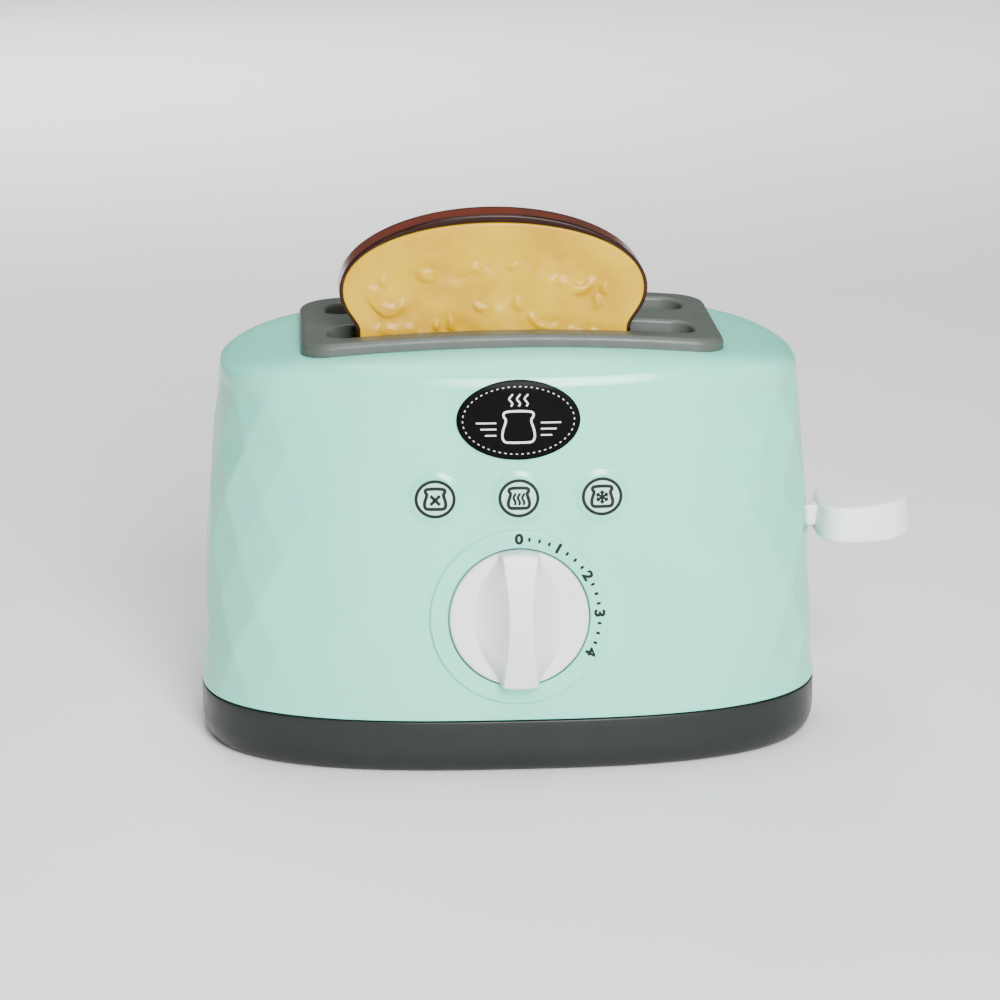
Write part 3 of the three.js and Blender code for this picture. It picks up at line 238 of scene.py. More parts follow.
class PrintSettings(bpy.types.PropertyGroup):
    digit_radius: length("Digit radius", "Radius of the ring of numbers", 23.4 * MM)
    digit_size: length("Digit size", "Height of a number", 3.1 * MM)
    digit_step: angle("Digit step", "Turn from one number to the next", 29.2)
    dots: count("Dots", "Marks between two numbers", 3)
    dot_size: length("Dot size", "Length of a mark", 1.25 * MM)
    line: length("Line", "Width of the icons' lines", 0.98 * MM)
    ring_radius: length("Ring radius", "Radius of the ring round an icon", 5.45 * MM)
    ring_line: length("Ring line", "Width of that ring", 0.92 * MM)
    ring_flat: share("Ring flatness", "Height of the ring as a share of its width", 0.945)
    slice_size: length("Slice size", "Width of the bread outline in an icon", 6.15 * MM)
    badge_trim: length("Badge trim", "How much less the printed oval's half height is than its plate's", 0.5 * MM)
    dashes: count("Dashes", "Dashes in the badge's border", 50)
    dash: length("Dash", "Length of a dash", 0.6 * MM)
    dash_line: length("Dash width", "Width of a dash", 0.25 * MM)
    border: length("Border", "From the badge's edge to the dashes", 1.75 * MM)
    ink: length("Ink", "Thickness of the printed layer", 0.06 * MM)
    black: colour("Black ink", "Printed black", "#08140f")
    pale: colour("Pale ink", "Printed off-white", "#dfe2dc")
    icon_ground: colour("Icon ground", "Ground of the icons", "#a9dccb")
    badge_ground: colour("Badge ground", "Ground of the badge", "#020302")


class StageSettings(bpy.types.PropertyGroup):
    azimuth: angle("Azimuth", "Camera's turn round the object", -3.755)
    elevation: angle("Elevation", "Camera's height angle", 16.075)
    distance: length("Distance", "Camera's distance from its target", 1.01706)
    scale: share("Scale", "Pixels to a metre at the target, in a frame 1000 pixels wide", 3313.0)
    target_x: length("Target across", "Target, sideways from the base's middle", -2.255 * MM)
    target_z: length("Target height", "Target's height", 68.457 * MM)
    floor_colour: colour("Floor", "Plain pale floor", "#e7e7e5")
    key: share("Key light", "Watts of the large light over the front", 50.0)
    top: share("Top light", "Watts of the long light overhead", 13.0)
    back: share("Back light", "Watts of the light on the floor behind", 40.0)
    rear: share("Rear light", "Watts of the soft light on the toaster's rear", 16.0)
    world: share("World", "Strength of the even light", 0.15)


# Mesh helpers


def piece(name, vertices, faces, materials, body, smooth_degrees=40.0):
    """A new mesh object whose faces are smooth up to an angle, riding on a body."""
    mesh = bpy.data.meshes.new(name)
    mesh.from_pydata([tuple(v) for v in vertices], [], [tuple(int(i) for i in f) for f in faces])
    mesh.validate()
    made = bpy.data.objects.new(name, mesh)
    bpy.context.scene.collection.objects.link(made)
    for material in materials:
        mesh.materials.append(material)
    clean(made, smooth_degrees)
    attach(made, body)
    return made


def clean(made, smooth_degrees):
    """Welds doubles, turns all faces outward and marks the sharp edges."""
    mesh = made.data
    work = bmesh.new()
    work.from_mesh(mesh)
    bmesh.ops.remove_doubles(work, verts=work.verts, dist=0.002 * MM)
    bmesh.ops.recalc_face_normals(work, faces=work.faces)
    work.to_mesh(mesh)
    work.free()
    mesh.shade_smooth()
    mesh.set_sharp_from_angle(angle=math.radians(smooth_degrees))


def apply_modifier(made, kind, **settings):
    """Adds a modifier, sets it and applies it."""
    modifier = made.modifiers.new(kind.title(), kind)
    for key, value in settings.items():
        setattr(modifier, key, value)
    depsgraph = bpy.context.evaluated_depsgraph_get()
    mesh = bpy.data.meshes.new_from_object(made.evaluated_get(depsgraph))
    made.modifiers.clear()
    old = made.data
    made.data = mesh
    bpy.data.meshes.remove(old)


def cut_away(made, vertices, faces, smooth_degrees=40.0, operation="DIFFERENCE"):
    """Cuts a closed shape out of a piece, or combines the two in another way."""
    mesh = bpy.data.meshes.new("cutter")
    mesh.from_pydata([tuple(v) for v in vertices], [], [tuple(int(i) for i in f) for f in faces])
    cutter = bpy.data.objects.new("cutter", mesh)
    bpy.context.scene.collection.objects.link(cutter)
    clean(cutter, smooth_degrees)
    bpy.context.view_layer.update()
    apply_modifier(made, "BOOLEAN", object=cutter, operation=operation, solver="EXACT")
    bpy.data.objects.remove(cutter)
    bpy.data.meshes.remove(mesh)
    made.data.shade_smooth()
    made.data.set_sharp_from_angle(angle=math.radians(smooth_degrees))


def merge_in(made, vertices, faces, smooth_degrees=40.0):
    """Joins a closed shape to a piece as one skin."""
    cut_away(made, vertices, faces, smooth_degrees, "UNION")


def ring_faces(rings, around, start=0, closed=False):
    """Quads between rings of equal count; closed joins the last ring to the first."""
    faces = []
    for level in range(rings if closed else rings - 1):
        upper = (level + 1) % rings
        for i in range(around):
            k = (i + 1) % around
            low, high = start + level * around, start + upper * around
            faces.append((low + i, low + k, high + k, high + i))
    return faces


def loft(rings, closed=False, caps=True):
    """Vertices and faces of a skin through rings, with a fan at each end."""
    around = len(rings[0])
    vertices = [Vector(v) for ring in rings for v in ring]
    faces = ring_faces(len(rings), around, closed=closed)
    if caps and not closed:
        for first, ring in ((0, rings[0]), ((len(rings) - 1) * around, rings[-1])):
            vertices.append(sum((Vector(v) for v in ring), Vector()) / around)
            faces += [(first + i, first + (i + 1) % around, len(vertices) - 1) for i in range(around)]
    return vertices, faces


def joined(*parts):
    """Several vertex and face lists as one."""
    vertices, faces = [], []
    for part_vertices, part_faces in parts:
        start = len(vertices)
        vertices += list(part_vertices)
        faces += [tuple(start + i for i in f) for f in part_faces]
    return vertices, faces


def lathe(profile, steps, place=Matrix.Identity(4)):
    """A profile of (radius, height) turned about Z and set in place."""
    rings = []
    for radius, height in profile:
        turns = (i / steps * math.tau for i in range(steps))
        rings.append([place @ Vector((radius * math.cos(t), radius * math.sin(t), height)) for t in turns])
    return loft(rings)


def block(low, high):
    """A box as vertices and faces."""
    rings = [
        [(low[0], low[1], z), (high[0], low[1], z), (high[0], high[1], z), (low[0], high[1], z)]
        for z in (low[2], high[2])
    ]
    vertices, faces = loft(rings, caps=False)
    return vertices, faces + [(0, 3, 2, 1), (4, 5, 6, 7)]


def smooth_step(low, high, value):
    """Runs from 0 at low to 1 at high, level at both."""
    t = np.clip((value - low) / (high - low), 0, 1)
    return t * t * (3 - 2 * t)


def quarter(steps):
    """Sine and cosine pairs of a quarter turn."""
    return [(math.sin(i / steps * math.pi / 2), math.cos(i / steps * math.pi / 2)) for i in range(steps + 1)]


# Shape of the moulding


def side_half(settings, height):
    """Half sizes of the plan at a height up to the shoulder."""
    t = (height - SEAM_HEIGHT) / (settings.shoulder_height - SEAM_HEIGHT)
    bow = 4 * t * (1 - t)
    return (
        SEAM_HALF.x - settings.end_taper * t + settings.end_bow * bow,
        SEAM_HALF.y - settings.face_taper * t + settings.face_bow * bow,
    )


def plan_curve(half_x, half_y, exponent, angles):
    """Points of a superellipse round the base's middle, as rows of x and y."""
    c, s = np.cos(angles), np.sin(angles)
    x = half_x * np.sign(c) * np.abs(c) ** (2 / exponent)
    y = half_y * np.sign(s) * np.abs(s) ** (2 / exponent)
    return np.stack([x, y], axis=1)


def even_angles(settings, steps):
    """Angles that space the seam's points evenly, and their distance along the seam."""
    dense = np.linspace(0, math.tau, 40001)
    curve = plan_curve(SEAM_HALF.x, SEAM_HALF.y, settings.side_roundness, dense)
    run = np.concatenate([[0], np.cumsum(np.linalg.norm(np.diff(curve, axis=0), axis=1))])
    wanted = np.linspace(0, run[-1], steps + 1)[:-1]
    return np.interp(wanted, run, dense), wanted, run[-1]


def top_half(settings):
    return TRIM_HALF.x + settings.trim_margin, TRIM_HALF.y + settings.trim_margin


def top_height(settings, x):
    """Height of the arched top; x counts from the base's middle."""
    return TOP_HEIGHT - settings.arch_rise * (x / top_half(settings)[0]) ** 2


def front_point(settings, x, height, out=0.0):
    """A point of the front face; x counts from the base's middle, out is how far it stands off."""
    if height <= settings.shoulder_height:
        half_x, half_y = side_half(settings, height)
        exponent = settings.side_roundness
    else:
        rise = (height - settings.shoulder_height) / (top_height(settings, x) - settings.shoulder_height)
        cosine = math.cos(math.asin(min(rise, 1)))
        shoulder = side_half(settings, settings.shoulder_height)
        half_x, half_y = (t + (s - t) * cosine for s, t in zip(shoulder, top_half(settings)))
        roundness = settings.top_roundness - settings.side_roundness
        exponent = settings.side_roundness + roundness * (1 - cosine)
    y = -half_y * (1 - abs(x / half_x) ** exponent) ** (1 / exponent)
    return Vector((MIDDLE.x + x, MIDDLE.y + y - out, height))


def face_frame(settings, x, height):
    """Frame of the front face at a place: X right, Y up the face, Z out of it."""
    reach = 2 * MM
    here = front_point(settings, x, height)
    right = (front_point(settings, x + reach, height) - front_point(settings, x - reach, height)).normalized()
    up = (front_point(settings, x, height + reach) - front_point(settings, x, height - reach)).normalized()
    out = right.cross(up).normalized()
    up = out.cross(right)
    return Matrix.Translation(here) @ Matrix((right, up, out)).transposed().to_4x4()


def dial_frame(settings):
    """Frame of the knob's axis on the skin: X right, Y up the face, Z out towards the player."""
    here = front_point(settings, 0, KNOB_HEIGHT)
    out = -KNOB_AXIS.normalized()
    right = Vector((1, 0, 0))
    return Matrix.Translation(here) @ Matrix((right, out.cross(right), out)).transposed().to_4x4()


def lattice_corner(settings, seam, column, row):
    """Corners of the facets: places on the smooth skin, some of them set in, at staggered columns and rows."""
    columns = round(seam["total"] / settings.facet_width)
    run = np.mod((column + row / 2) / columns * seam["total"], seam["total"])
    angles = np.interp(run, seam["run"], seam["angle"])
    height = SEAM_HEIGHT + row * settings.facet_height
    bounded = np.clip(height, SEAM_HEIGHT, settings.shoulder_height)
    half_x, half_y = side_half(settings, bounded)
    c, s = np.cos(angles), np.sin(angles)
    power = 2 / settings.side_roundness
    x, y = half_x * np.sign(c) * np.abs(c) ** power, half_y * np.sign(s) * np.abs(s) ** power
    wave = np.sin(np.round(run / MM) * 12.9898 + row * 78.233) * 43758.5453
    aside = smooth_step(0, settings.facet_width, np.abs(y) - settings.slot_half_width)
    relief = np.where(x > 0, settings.facet_calm + (1 - settings.facet_calm) * aside, 1)
    set_in = settings.facet_depth * relief * (wave - np.floor(wave)) / np.hypot(x, y)
    return np.stack([x * (1 - set_in), y * (1 - set_in)], axis=-1)


def facet_plan(settings, seam, run, height):
    """Plan of the faceted skin at a height: flat triangles between the lattice's corners."""
    columns = round(seam["total"] / settings.facet_width)
    row = (height - SEAM_HEIGHT) / settings.facet_height
    across = run / seam["total"] * columns - row / 2
    i, j = np.floor(across), np.floor(row)
    u, v = (across - i)[:, None], row - j
    left, right = lattice_corner(settings, seam, i, j), lattice_corner(settings, seam, i + 1, j)
    upper_left = lattice_corner(settings, seam, i, j + 1)
    upper_right = lattice_corner(settings, seam, i + 1, j + 1)
    low = left * (1 - u - v) + right * u + upper_left * v
    high = upper_right * (u + v - 1) + right * (1 - v) + upper_left * (1 - u)
    return np.where(u + v < 1, low, high)


def housing_skin(settings, steps=420, side_rows=96, shoulder_rows=14):
    """The housing's outer skin as rings from the seam up to just inside the trim."""
    angles, run, total = even_angles(settings, steps)
    dense = np.linspace(0, math.tau, 8001)
    curve = plan_curve(SEAM_HALF.x, SEAM_HALF.y, settings.side_roundness, dense)
    along = np.concatenate([[0], np.cumsum(np.linalg.norm(np.diff(curve, axis=0), axis=1))])
    seam = {"total": total, "run": along, "angle": dense}
    edge = settings.seam_edge
    insets = [edge * (1 - s) for s, c in quarter(3)]
    heights = [SEAM_HEIGHT + edge * (1 - c) for s, c in quarter(3)]
    stops = [SEAM_HEIGHT + edge, settings.slot_low, settings.slot_high, settings.shoulder_height]
    for low, high in zip(stops, stops[1:]):
        rows = max(1, round(side_rows * (high - low) / (stops[-1] - stops[0])))
        heights += [low + (high - low) * k / rows for k in range(1, rows + 1)]
        insets += [0.0] * rows
    rings = []
    for height, inset in zip(heights, insets):
        half_x, half_y = side_half(settings, height)
        plan = plan_curve(half_x, half_y, settings.side_roundness, angles)
        ahead, behind = np.roll(plan, -1, axis=0), np.roll(plan, 1, axis=0)
        tangent = (ahead - behind) / np.linalg.norm(ahead - behind, axis=1, keepdims=True)
        normal = np.stack([tangent[:, 1], -tangent[:, 0]], axis=1)
        reach = settings.facet_soft
        around = [(0, 0), (reach, 0), (-reach, 0), (0, reach), (0, -reach)]
        depth = 0
        for shift, lift in around:
            flat = facet_plan(settings, seam, np.mod(run + shift, total), height + lift)
            smooth = plan_curve(*side_half(settings, height + lift), settings.side_roundness, np.interp(
                np.mod(run + shift, total), along, dense))
            depth = depth + np.sum((smooth - flat) * normal, axis=1) / len(around)
        side = smooth_step(settings.facet_start, settings.facet_full, np.abs(plan[:, 0]))
        fade = settings.facet_fade
        level = smooth_step(0, fade, height - SEAM_HEIGHT)
        level *= 1 - smooth_step(-fade, 0, height - settings.shoulder_height)
        depth = (np.maximum(depth, 0) - settings.facet_lift) * side * level + inset
        plan = plan - normal * depth[:, None]
        rings.append(np.column_stack([plan, np.full(steps, height)]))
    shoulder = side_half(settings, settings.shoulder_height)
    top = top_half(settings)
    for s, c in quarter(shoulder_rows)[1:]:
        half = [t + (h - t) * c for h, t in zip(shoulder, top)]
        exponent = settings.side_roundness + (settings.top_roundness - settings.side_roundness) * (1 - c)
        plan = plan_curve(*half, exponent, angles)
        rise = top_height(settings, plan[:, 0]) - settings.shoulder_height
        rings.append(np.column_stack([plan, settings.shoulder_height + rise * s]))
    for inner in (0.97, 0.93):
        plan = plan_curve(top[0] * inner, top[1] * inner, settings.top_roundness, angles)
        rings.append(np.column_stack([plan, top_height(settings, plan[:, 0])]))
    return np.array(rings)


def build_housing(settings):
    rings = housing_skin(settings)
    rings[:, :, 0] += MIDDLE.x
    rings[:, :, 1] += MIDDLE.y
    faces = ring_faces(*rings.shape[:2])
    made = piece("housing_shell", rings.reshape(-1, 3), faces, [mint_plastic(settings)], "body", 50)
    apply_modifier(made, "SOLIDIFY", thickness=settings.wall, offset=-1, use_rim=True)
    half = settings.slot_half_width
    slot_inner, slot_outer = SEAM_HALF.x * 0.8, SEAM_HALF.x * 1.1
    low = (MIDDLE.x + slot_inner, MIDDLE.y - half, settings.slot_low)
    high = (MIDDLE.x + slot_outer, MIDDLE.y + half, settings.slot_high)
    cut_away(made, *block(low, high))
    seat = [(settings.seat_radius, -settings.seat_depth), (settings.seat_radius, 3 * settings.dial_proud)]
    cut_away(made, *lathe(seat, 160, dial_frame(settings)))
    hole = [(settings.arbor_hole, -2 * settings.wall), (settings.arbor_hole, settings.dial_proud)]
    cut_away(made, *lathe(hole, 48, dial_frame(settings)))
    add_mouldings(made, settings)
    clean(made, 35)
    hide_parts("housing")
    return made


def add_mouldings(made, settings):
    """Raised disc behind the knob and the pads under the icons, as part of the housing."""
    bend = 0.45 * MM
    dial = settings.dial_radius
    proud = settings.dial_proud
    seat, lip = settings.seat_radius, 0.2 * MM
    profile = [(dial, -settings.wall / 2), (dial, proud - bend)]
    profile += [(dial - bend * (1 - c), proud - bend * (1 - s)) for s, c in quarter(5)[1:]]
    profile += [(seat + (dial - seat) * t, proud) for t in (0.75, 0.5, 0.25)]
    profile += [(seat + lip, proud), (seat, proud - lip), (seat, -settings.wall / 2)]
    rings = []
    place = dial_frame(settings)
    for radius, height in profile:
        turns = (i / 160 * math.tau for i in range(160))
        rings.append([place @ Vector((radius * math.cos(t), radius * math.sin(t), height)) for t in turns])
    parts = [loft(rings, closed=True)]
    for low, high in ICON_BOX:
        x, height = (low.x + high.x) / 2 - MIDDLE.x, (low.z + high.z) / 2
        top = settings.pad_radius - 1.9 * MM
        rounds = [top + (settings.pad_radius - top) * i / 12 for i in range(12, -1, -1)]
        pad = [(settings.pad_radius, -settings.wall / 2)]
        pad += [
            (r, settings.pad_proud * (1 - float(smooth_step(top, settings.pad_radius, r)))) for r in rounds
        ]
        pad += [(top * t, settings.pad_proud) for t in (0.7, 0.35)]
        parts.append(lathe(pad, 72, face_frame(settings, x, height)))
    vertices, faces = joined(*parts)
    work = bmesh.new()
    work.from_mesh(made.data)
    points = [work.verts.new(v) for v in vertices]
    for face in faces:
        work.faces.new([points[i] for i in face])
    work.to_mesh(made.data)
    work.free()


def build_base(settings, housing):
    angles, run, total = even_angles(housing, 360)
    top = SEAM_HEIGHT - settings.seam_gap
    edge = 0.4 * MM
    wall = housing.wall
    profile = [(settings.edge_inset * (1 - s), settings.edge_rise * (1 - c)) for s, c in quarter(14)]
    profile += [(0, settings.edge_rise + (top - edge - settings.edge_rise) * t) for t in (0.35, 0.7, 1)]
    profile += [(edge * (1 - c), top - edge * (1 - s)) for s, c in quarter(4)[1:]]
    lip = wall + settings.seam_gap
    lip_top = SEAM_HEIGHT + settings.lip_rise
    profile += [(lip, top), (lip + settings.seam_gap, lip_top)]
    profile += [(lip + settings.seam_gap + settings.lip_thickness, lip_top)]
    profile += [(lip + settings.lip_thickness, settings.edge_rise), (settings.edge_inset + wall, settings.floor)]
    rings = []
    for inset, height in profile:
        half = SEAM_HALF.x - inset, SEAM_HALF.y - inset
        plan = plan_curve(*half, housing.side_roundness, angles)
        rings.append([(MIDDLE.x + x, MIDDLE.y + y, height) for x, y in plan])
    # Painted shade: the tray's grey is drawn darker than the trim's, though both are one plastic
    made = piece("base_shell", *loft(rings), [grey_plastic(settings, "painted_shade_grey_polypropylene")], "body", 40)
    places = [((low.x + high.x) / 2, (low.y + high.y) / 2) for low, high in SCREW_BOX]
    posts = []
    for x, y in places:
        outer = [(settings.post_radius, settings.floor / 2), (settings.post_radius, top - edge)]
        posts.append(lathe(outer, 40, Matrix.Translation((x, y, 0))))
    for x, y in places:
        radius, depth, bevel = settings.recess_radius, settings.recess_depth, 0.5 * MM
        shape = [(radius + bevel, -bevel), (radius + bevel, 0), (radius, bevel), (radius, depth)]
        cut_away(made, *lathe(shape, 48, Matrix.Translation((x, y, 0))))
    work = bmesh.new()
    work.from_mesh(made.data)
    vertices, faces = joined(*[sleeve(x, y, settings, top - edge) for x, y in places])
    points = [work.verts.new(v) for v in vertices]
    for face in faces:
        work.faces.new([points[i] for i in face])
    work.to_mesh(made.data)
    work.free()
    clean(made, 40)
    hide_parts("base_tray")
    return made


def sleeve(x, y, settings, top):
    """Screw post of the base: a tube round the recess with a floor that the screw's head seats on."""
    radius, depth, post = settings.recess_radius, settings.recess_depth, settings.post_radius
    bore = 1.55 * MM
    floor = settings.floor
    profile = [(radius, floor / 2), (radius, depth), (bore, depth), (bore, top), (post, top), (post, floor / 2)]
    rings = []
    for reach, height in profile:
        turns = (i / 48 * math.tau for i in range(48))
        rings.append([(x + reach * math.cos(t), y + reach * math.sin(t), height) for t in turns])
    return loft(rings, closed=True)


def rounded_rectangle(half_x, half_y, radius, step):
    """Points round a rounded rectangle, counter-clockwise from the right side, no further apart than step."""
    points = []
    corners = [(1, 1), (-1, 1), (-1, -1), (1, -1)]
    arc = 12
    for quarter_turn, (sx, sy) in enumerate(corners):
        cx, cy = sx * (half_x - radius), sy * (half_y - radius)
        for i in range(arc + 1):
            t = (quarter_turn + i / arc) * math.pi / 2
            points.append((cx + radius * math.cos(t), cy + radius * math.sin(t)))
        nx, ny = corners[(quarter_turn + 1) % 4]
        t = (quarter_turn + 1) * math.pi / 2
        end = (nx * (half_x - radius) + radius * math.cos(t), ny * (half_y - radius) + radius * math.sin(t))
        start = points[-1]
        pieces_on_side = max(1, math.ceil(math.dist(start, end) / step))
        for i in range(1, pieces_on_side):
            k = i / pieces_on_side
            points.append((start[0] + (end[0] - start[0]) * k, start[1] + (end[1] - start[1]) * k))
    return points


def rectangle_gap(x, y, half_x, half_y, radius):
    """Signed distance to a rounded rectangle about the origin, negative inside."""
    dx, dy = abs(x) - half_x + radius, abs(y) - half_y + radius
    return math.hypot(max(dx, 0), max(dy, 0)) + min(max(dx, dy), 0) - radius


def build_trim(settings, housing, grey):
    step = settings.grid
    proud = TRIM_HIGH.z - TOP_HEIGHT
    seat = 0.1 * MM
    slot_half_x = (WELL_HIGH.x - WELL_LOW.x) / 2 - settings.well_wall - WELL_EAR_REACH
    slot_half_y = (WELL_HIGH.y - WELL_LOW.y) / 2 - settings.well_wall
    slot_ys = [(low.y + high.y) / 2 - MIDDLE.y for low, high in (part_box(n) for n in WELLS)]

    def roof(x):
        return top_height(housing, x) + proud

    def outline(inset, height_at):
        points = rounded_rectangle(TRIM_HALF.x - inset, TRIM_HALF.y - inset, settings.corner - inset, step)
        return [(x, y, height_at(x)) for x, y in points]

    def slot_ring(y0, grow, height_at):
        half = slot_half_x + grow, slot_half_y + grow
        return [(x, y + y0, height_at(x)) for x, y in rounded_rectangle(*half, settings.slot_corner + grow, step)]

    edge, rim = settings.edge, settings.rim
    outer = [outline(0, lambda x: top_height(housing, x) + seat)]
    outer += [outline(edge * (1 - c), lambda x, s=s: roof(x) - edge * (1 - s)) for s, c in quarter(8)]
    parts = [loft(outer, caps=False)]
    for y0 in slot_ys:
        down = [
            slot_ring(y0, rim * (1 - c), lambda x, s=s: roof(x) - rim * (1 - s)) for s, c in quarter(6)[::-1]
        ]
        down.append(slot_ring(y0, 0, lambda x: TRIM_LOW.z))
        down.append(slot_ring(y0, settings.collar_wall, lambda x: TRIM_LOW.z))
        down.append(slot_ring(y0, settings.collar_wall, lambda x: top_height(housing, x) + seat))
        parts.append(loft(down, caps=False))
    parts.append(trim_sheet(settings, outer[-1], slot_ys, slot_half_x, slot_half_y, rim, roof))
    under = [(x, y, z) for x, y, z in outer[0]]
    collar = settings.collar_wall
    parts.append(
        trim_sheet(settings, under, slot_ys, slot_half_x, slot_half_y, collar, lambda x: top_height(housing, x) + seat)
    )
    vertices, faces = joined(*parts)
    vertices = [(MIDDLE.x + x, MIDDLE.y + y, z) for x, y, z in vertices]
    made = piece("trim_frame", vertices, faces, [grey], "body", 35)
    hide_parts("slot_trim")
    return made


WELLS = ("bread_well_front", "bread_well_rear")
WELL_EAR_REACH = 10 * MM


def trim_sheet(settings, border, slot_ys, slot_half_x, slot_half_y, grow, height_at):
    """A face of the trim with its two slots left open, filled with even triangles."""
    step = settings.grid
    loops = [[(x, y) for x, y, z in border]]
    half = slot_half_x + grow, slot_half_y + grow
    radius = settings.slot_corner + grow
    for y0 in slot_ys:
        loops.append([(x, y + y0) for x, y in rounded_rectangle(*half, radius, step)])
    points, edges = [], []
    for loop in loops:
        start = len(points)
        points += [Vector(p) for p in loop]
        edges += [(start + i, start + (i + 1) % len(loop)) for i in range(len(loop))]
    reach_x = max(abs(x) for x, y in loops[0])
    reach_y = max(abs(y) for x, y in loops[0])

    def inside(x, y, margin):
        if rectangle_gap(x, y, reach_x, reach_y, settings.corner - settings.edge) > -margin:
            return False
        return all(rectangle_gap(x, y - y0, *half, radius) > margin for y0 in slot_ys)

    columns, rows = int(2 * reach_x / step), int(2 * reach_y / step)
    for i in range(1, columns):
        for j in range(1, rows):
            x, y = -reach_x + i * 2 * reach_x / columns, -reach_y + j * 2 * reach_y / rows
            if inside(x, y, step / 2):
                points.append(Vector((x, y)))
    flat, _, triangles, *_ = geometry.delaunay_2d_cdt(points, edges, [], 0, 1e-7)
    kept = []
    for triangle in triangles:
        centre = sum((flat[i] for i in triangle), Vector((0, 0))) / len(triangle)
        if inside(centre.x, centre.y, 0):
            kept.append(tuple(triangle))
    return [(v.x, v.y, height_at(v.x)) for v in flat], kept


def slice_outline(settings, inset, steps):
    """Outline of the slice in x and z from the middle of its foot, counter-clockwise from the foot."""
    half = (CRUST_HIGH.x - CRUST_LOW.x) / 2 - inset * settings.side_share
    waist = half - settings.waist
    tall = CRUST_HIGH.z - CRUST_LOW.z
    top = tall - inset
    lobe = tall - settings.lobe_drop
    waist_low = tall - settings.waist_drop
    waist_bend = waist_low + settings.waist_bend
    foot = max(settings.foot_radius - inset, inset)
    crown = settings.crown_share

    def bezier(a, b, c, d, n):
        return [
            tuple(
                a[k] * (1 - t) ** 3 + 3 * b[k] * t * (1 - t) ** 2 + 3 * c[k] * t * t * (1 - t) + d[k] * t**3
                for k in (0, 1)
            )
            for t in (i / n for i in range(n))
        ]

    corner = waist - foot
    foot_steps, flat_steps = steps // 2, round(steps * 0.8)
    right = [(corner * i / flat_steps, inset) for i in range(flat_steps)]
    heel = (corner + foot * 0.55, inset)
    right += bezier((corner, inset), heel, (waist, inset + foot * 0.45), (waist, inset + foot), foot_steps)
    rise = waist_low - inset - foot
    right += [(waist, inset + foot + rise * i / flat_steps) for i in range(flat_steps)]
    lobe_start = (half, lobe - settings.lobe_bend)
    right += bezier((waist, waist_low), (waist, waist_bend), lobe_start, (half, lobe), steps)
    full = (half, lobe + settings.lobe_drop * crown)
    right += bezier((half, lobe), full, (half * crown, top), (0, top), 2 * steps)
    right.append((0, top))
    left = [(-x, z) for x, z in right[1:-1]][::-1]
    return right + left


def slice_ring(settings, inset, y, steps=22):
    x0, z0 = (CRUST_LOW.x + CRUST_HIGH.x) / 2, CRUST_LOW.z
    return [(x0 + x, y, z0 + z) for x, z in slice_outline(settings, inset, steps)]


def build_crust(settings):
    half = (CRUST_HIGH.y - CRUST_LOW.y) / 2
    y0 = (CRUST_LOW.y + CRUST_HIGH.y) / 2
    rim = settings.crumb_inset
    bend, lip = 0.5 * MM, 0.2 * MM
    front = [(rim + 1.5 * MM, half - 1.7 * MM), (rim + 0.1 * MM, half - 1.6 * MM), (rim, half - 2 * lip)]
    front += [(rim - lip * s, half - lip * (1 - s)) for s, c in quarter(4)]
    front += [(bend * (1 - s), half - bend * (1 - c)) for s, c in quarter(8)]
    front += [(0, half * t) for t in (0.6, 0.3)]
    section = [(inset, -y) for inset, y in front] + [(inset, y) for inset, y in front[::-1]]
    rings = [slice_ring(settings, inset, y0 + y) for inset, y in section]
    made = piece("crust_ring", *loft(rings, closed=True), [crust_plastic(settings)], "slice", 60)
    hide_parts("toast_crust")
    return made


def build_crumb(settings, side, node):
    """The yellow face on one side: a smooth band round a dented middle."""
    y0 = (CRUST_LOW.y + CRUST_HIGH.y) / 2
    surface = (CRUST_HIGH.y - CRUST_LOW.y) / 2 - 0.15 * MM
    inset = settings.crumb_inset + 0.05 * MM
    round_off = 0.7 * MM
    fine = 36
    rings = [slice_ring(settings, inset, y0 + side * (surface - 1.6 * MM), fine)]
    rings += [
        slice_ring(settings, inset + round_off * (1 - c), y0 + side * (surface - round_off * (1 - s)), fine)
        for s, c in quarter(5)
    ]
    border = rings[-1]
    heart = Vector(((CRUST_LOW.x + CRUST_HIGH.x) / 2, y0, CRUST_LOW.z + (CRUST_HIGH.z - CRUST_LOW.z) * 0.5))
    levels = 84
    crown = CRUST_HIGH.z
    for level in range(1, levels):
        t = level / levels
        ring = []
        for x, y, z in border:
            px, pz = x + (heart.x - x) * t, z + (heart.z - z) * t
            edge = math.hypot(x - heart.x, z - heart.z) * t
            mask = float(smooth_step(settings.band * 0.3, settings.band * 2.2, edge))
            sunk = crumb_hollow(settings, px, pz, side) - crumb_ridges(settings, side * (heart.x - px), pz - crown)
            ring.append((px, y0 + side * (surface - max(sunk, 0) * mask), pz))
        rings.append(ring)
    made = piece(f"crumb_{node}", *loft(rings), [crumb_plastic(settings)], "slice", 70)
    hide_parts(node)
    return made


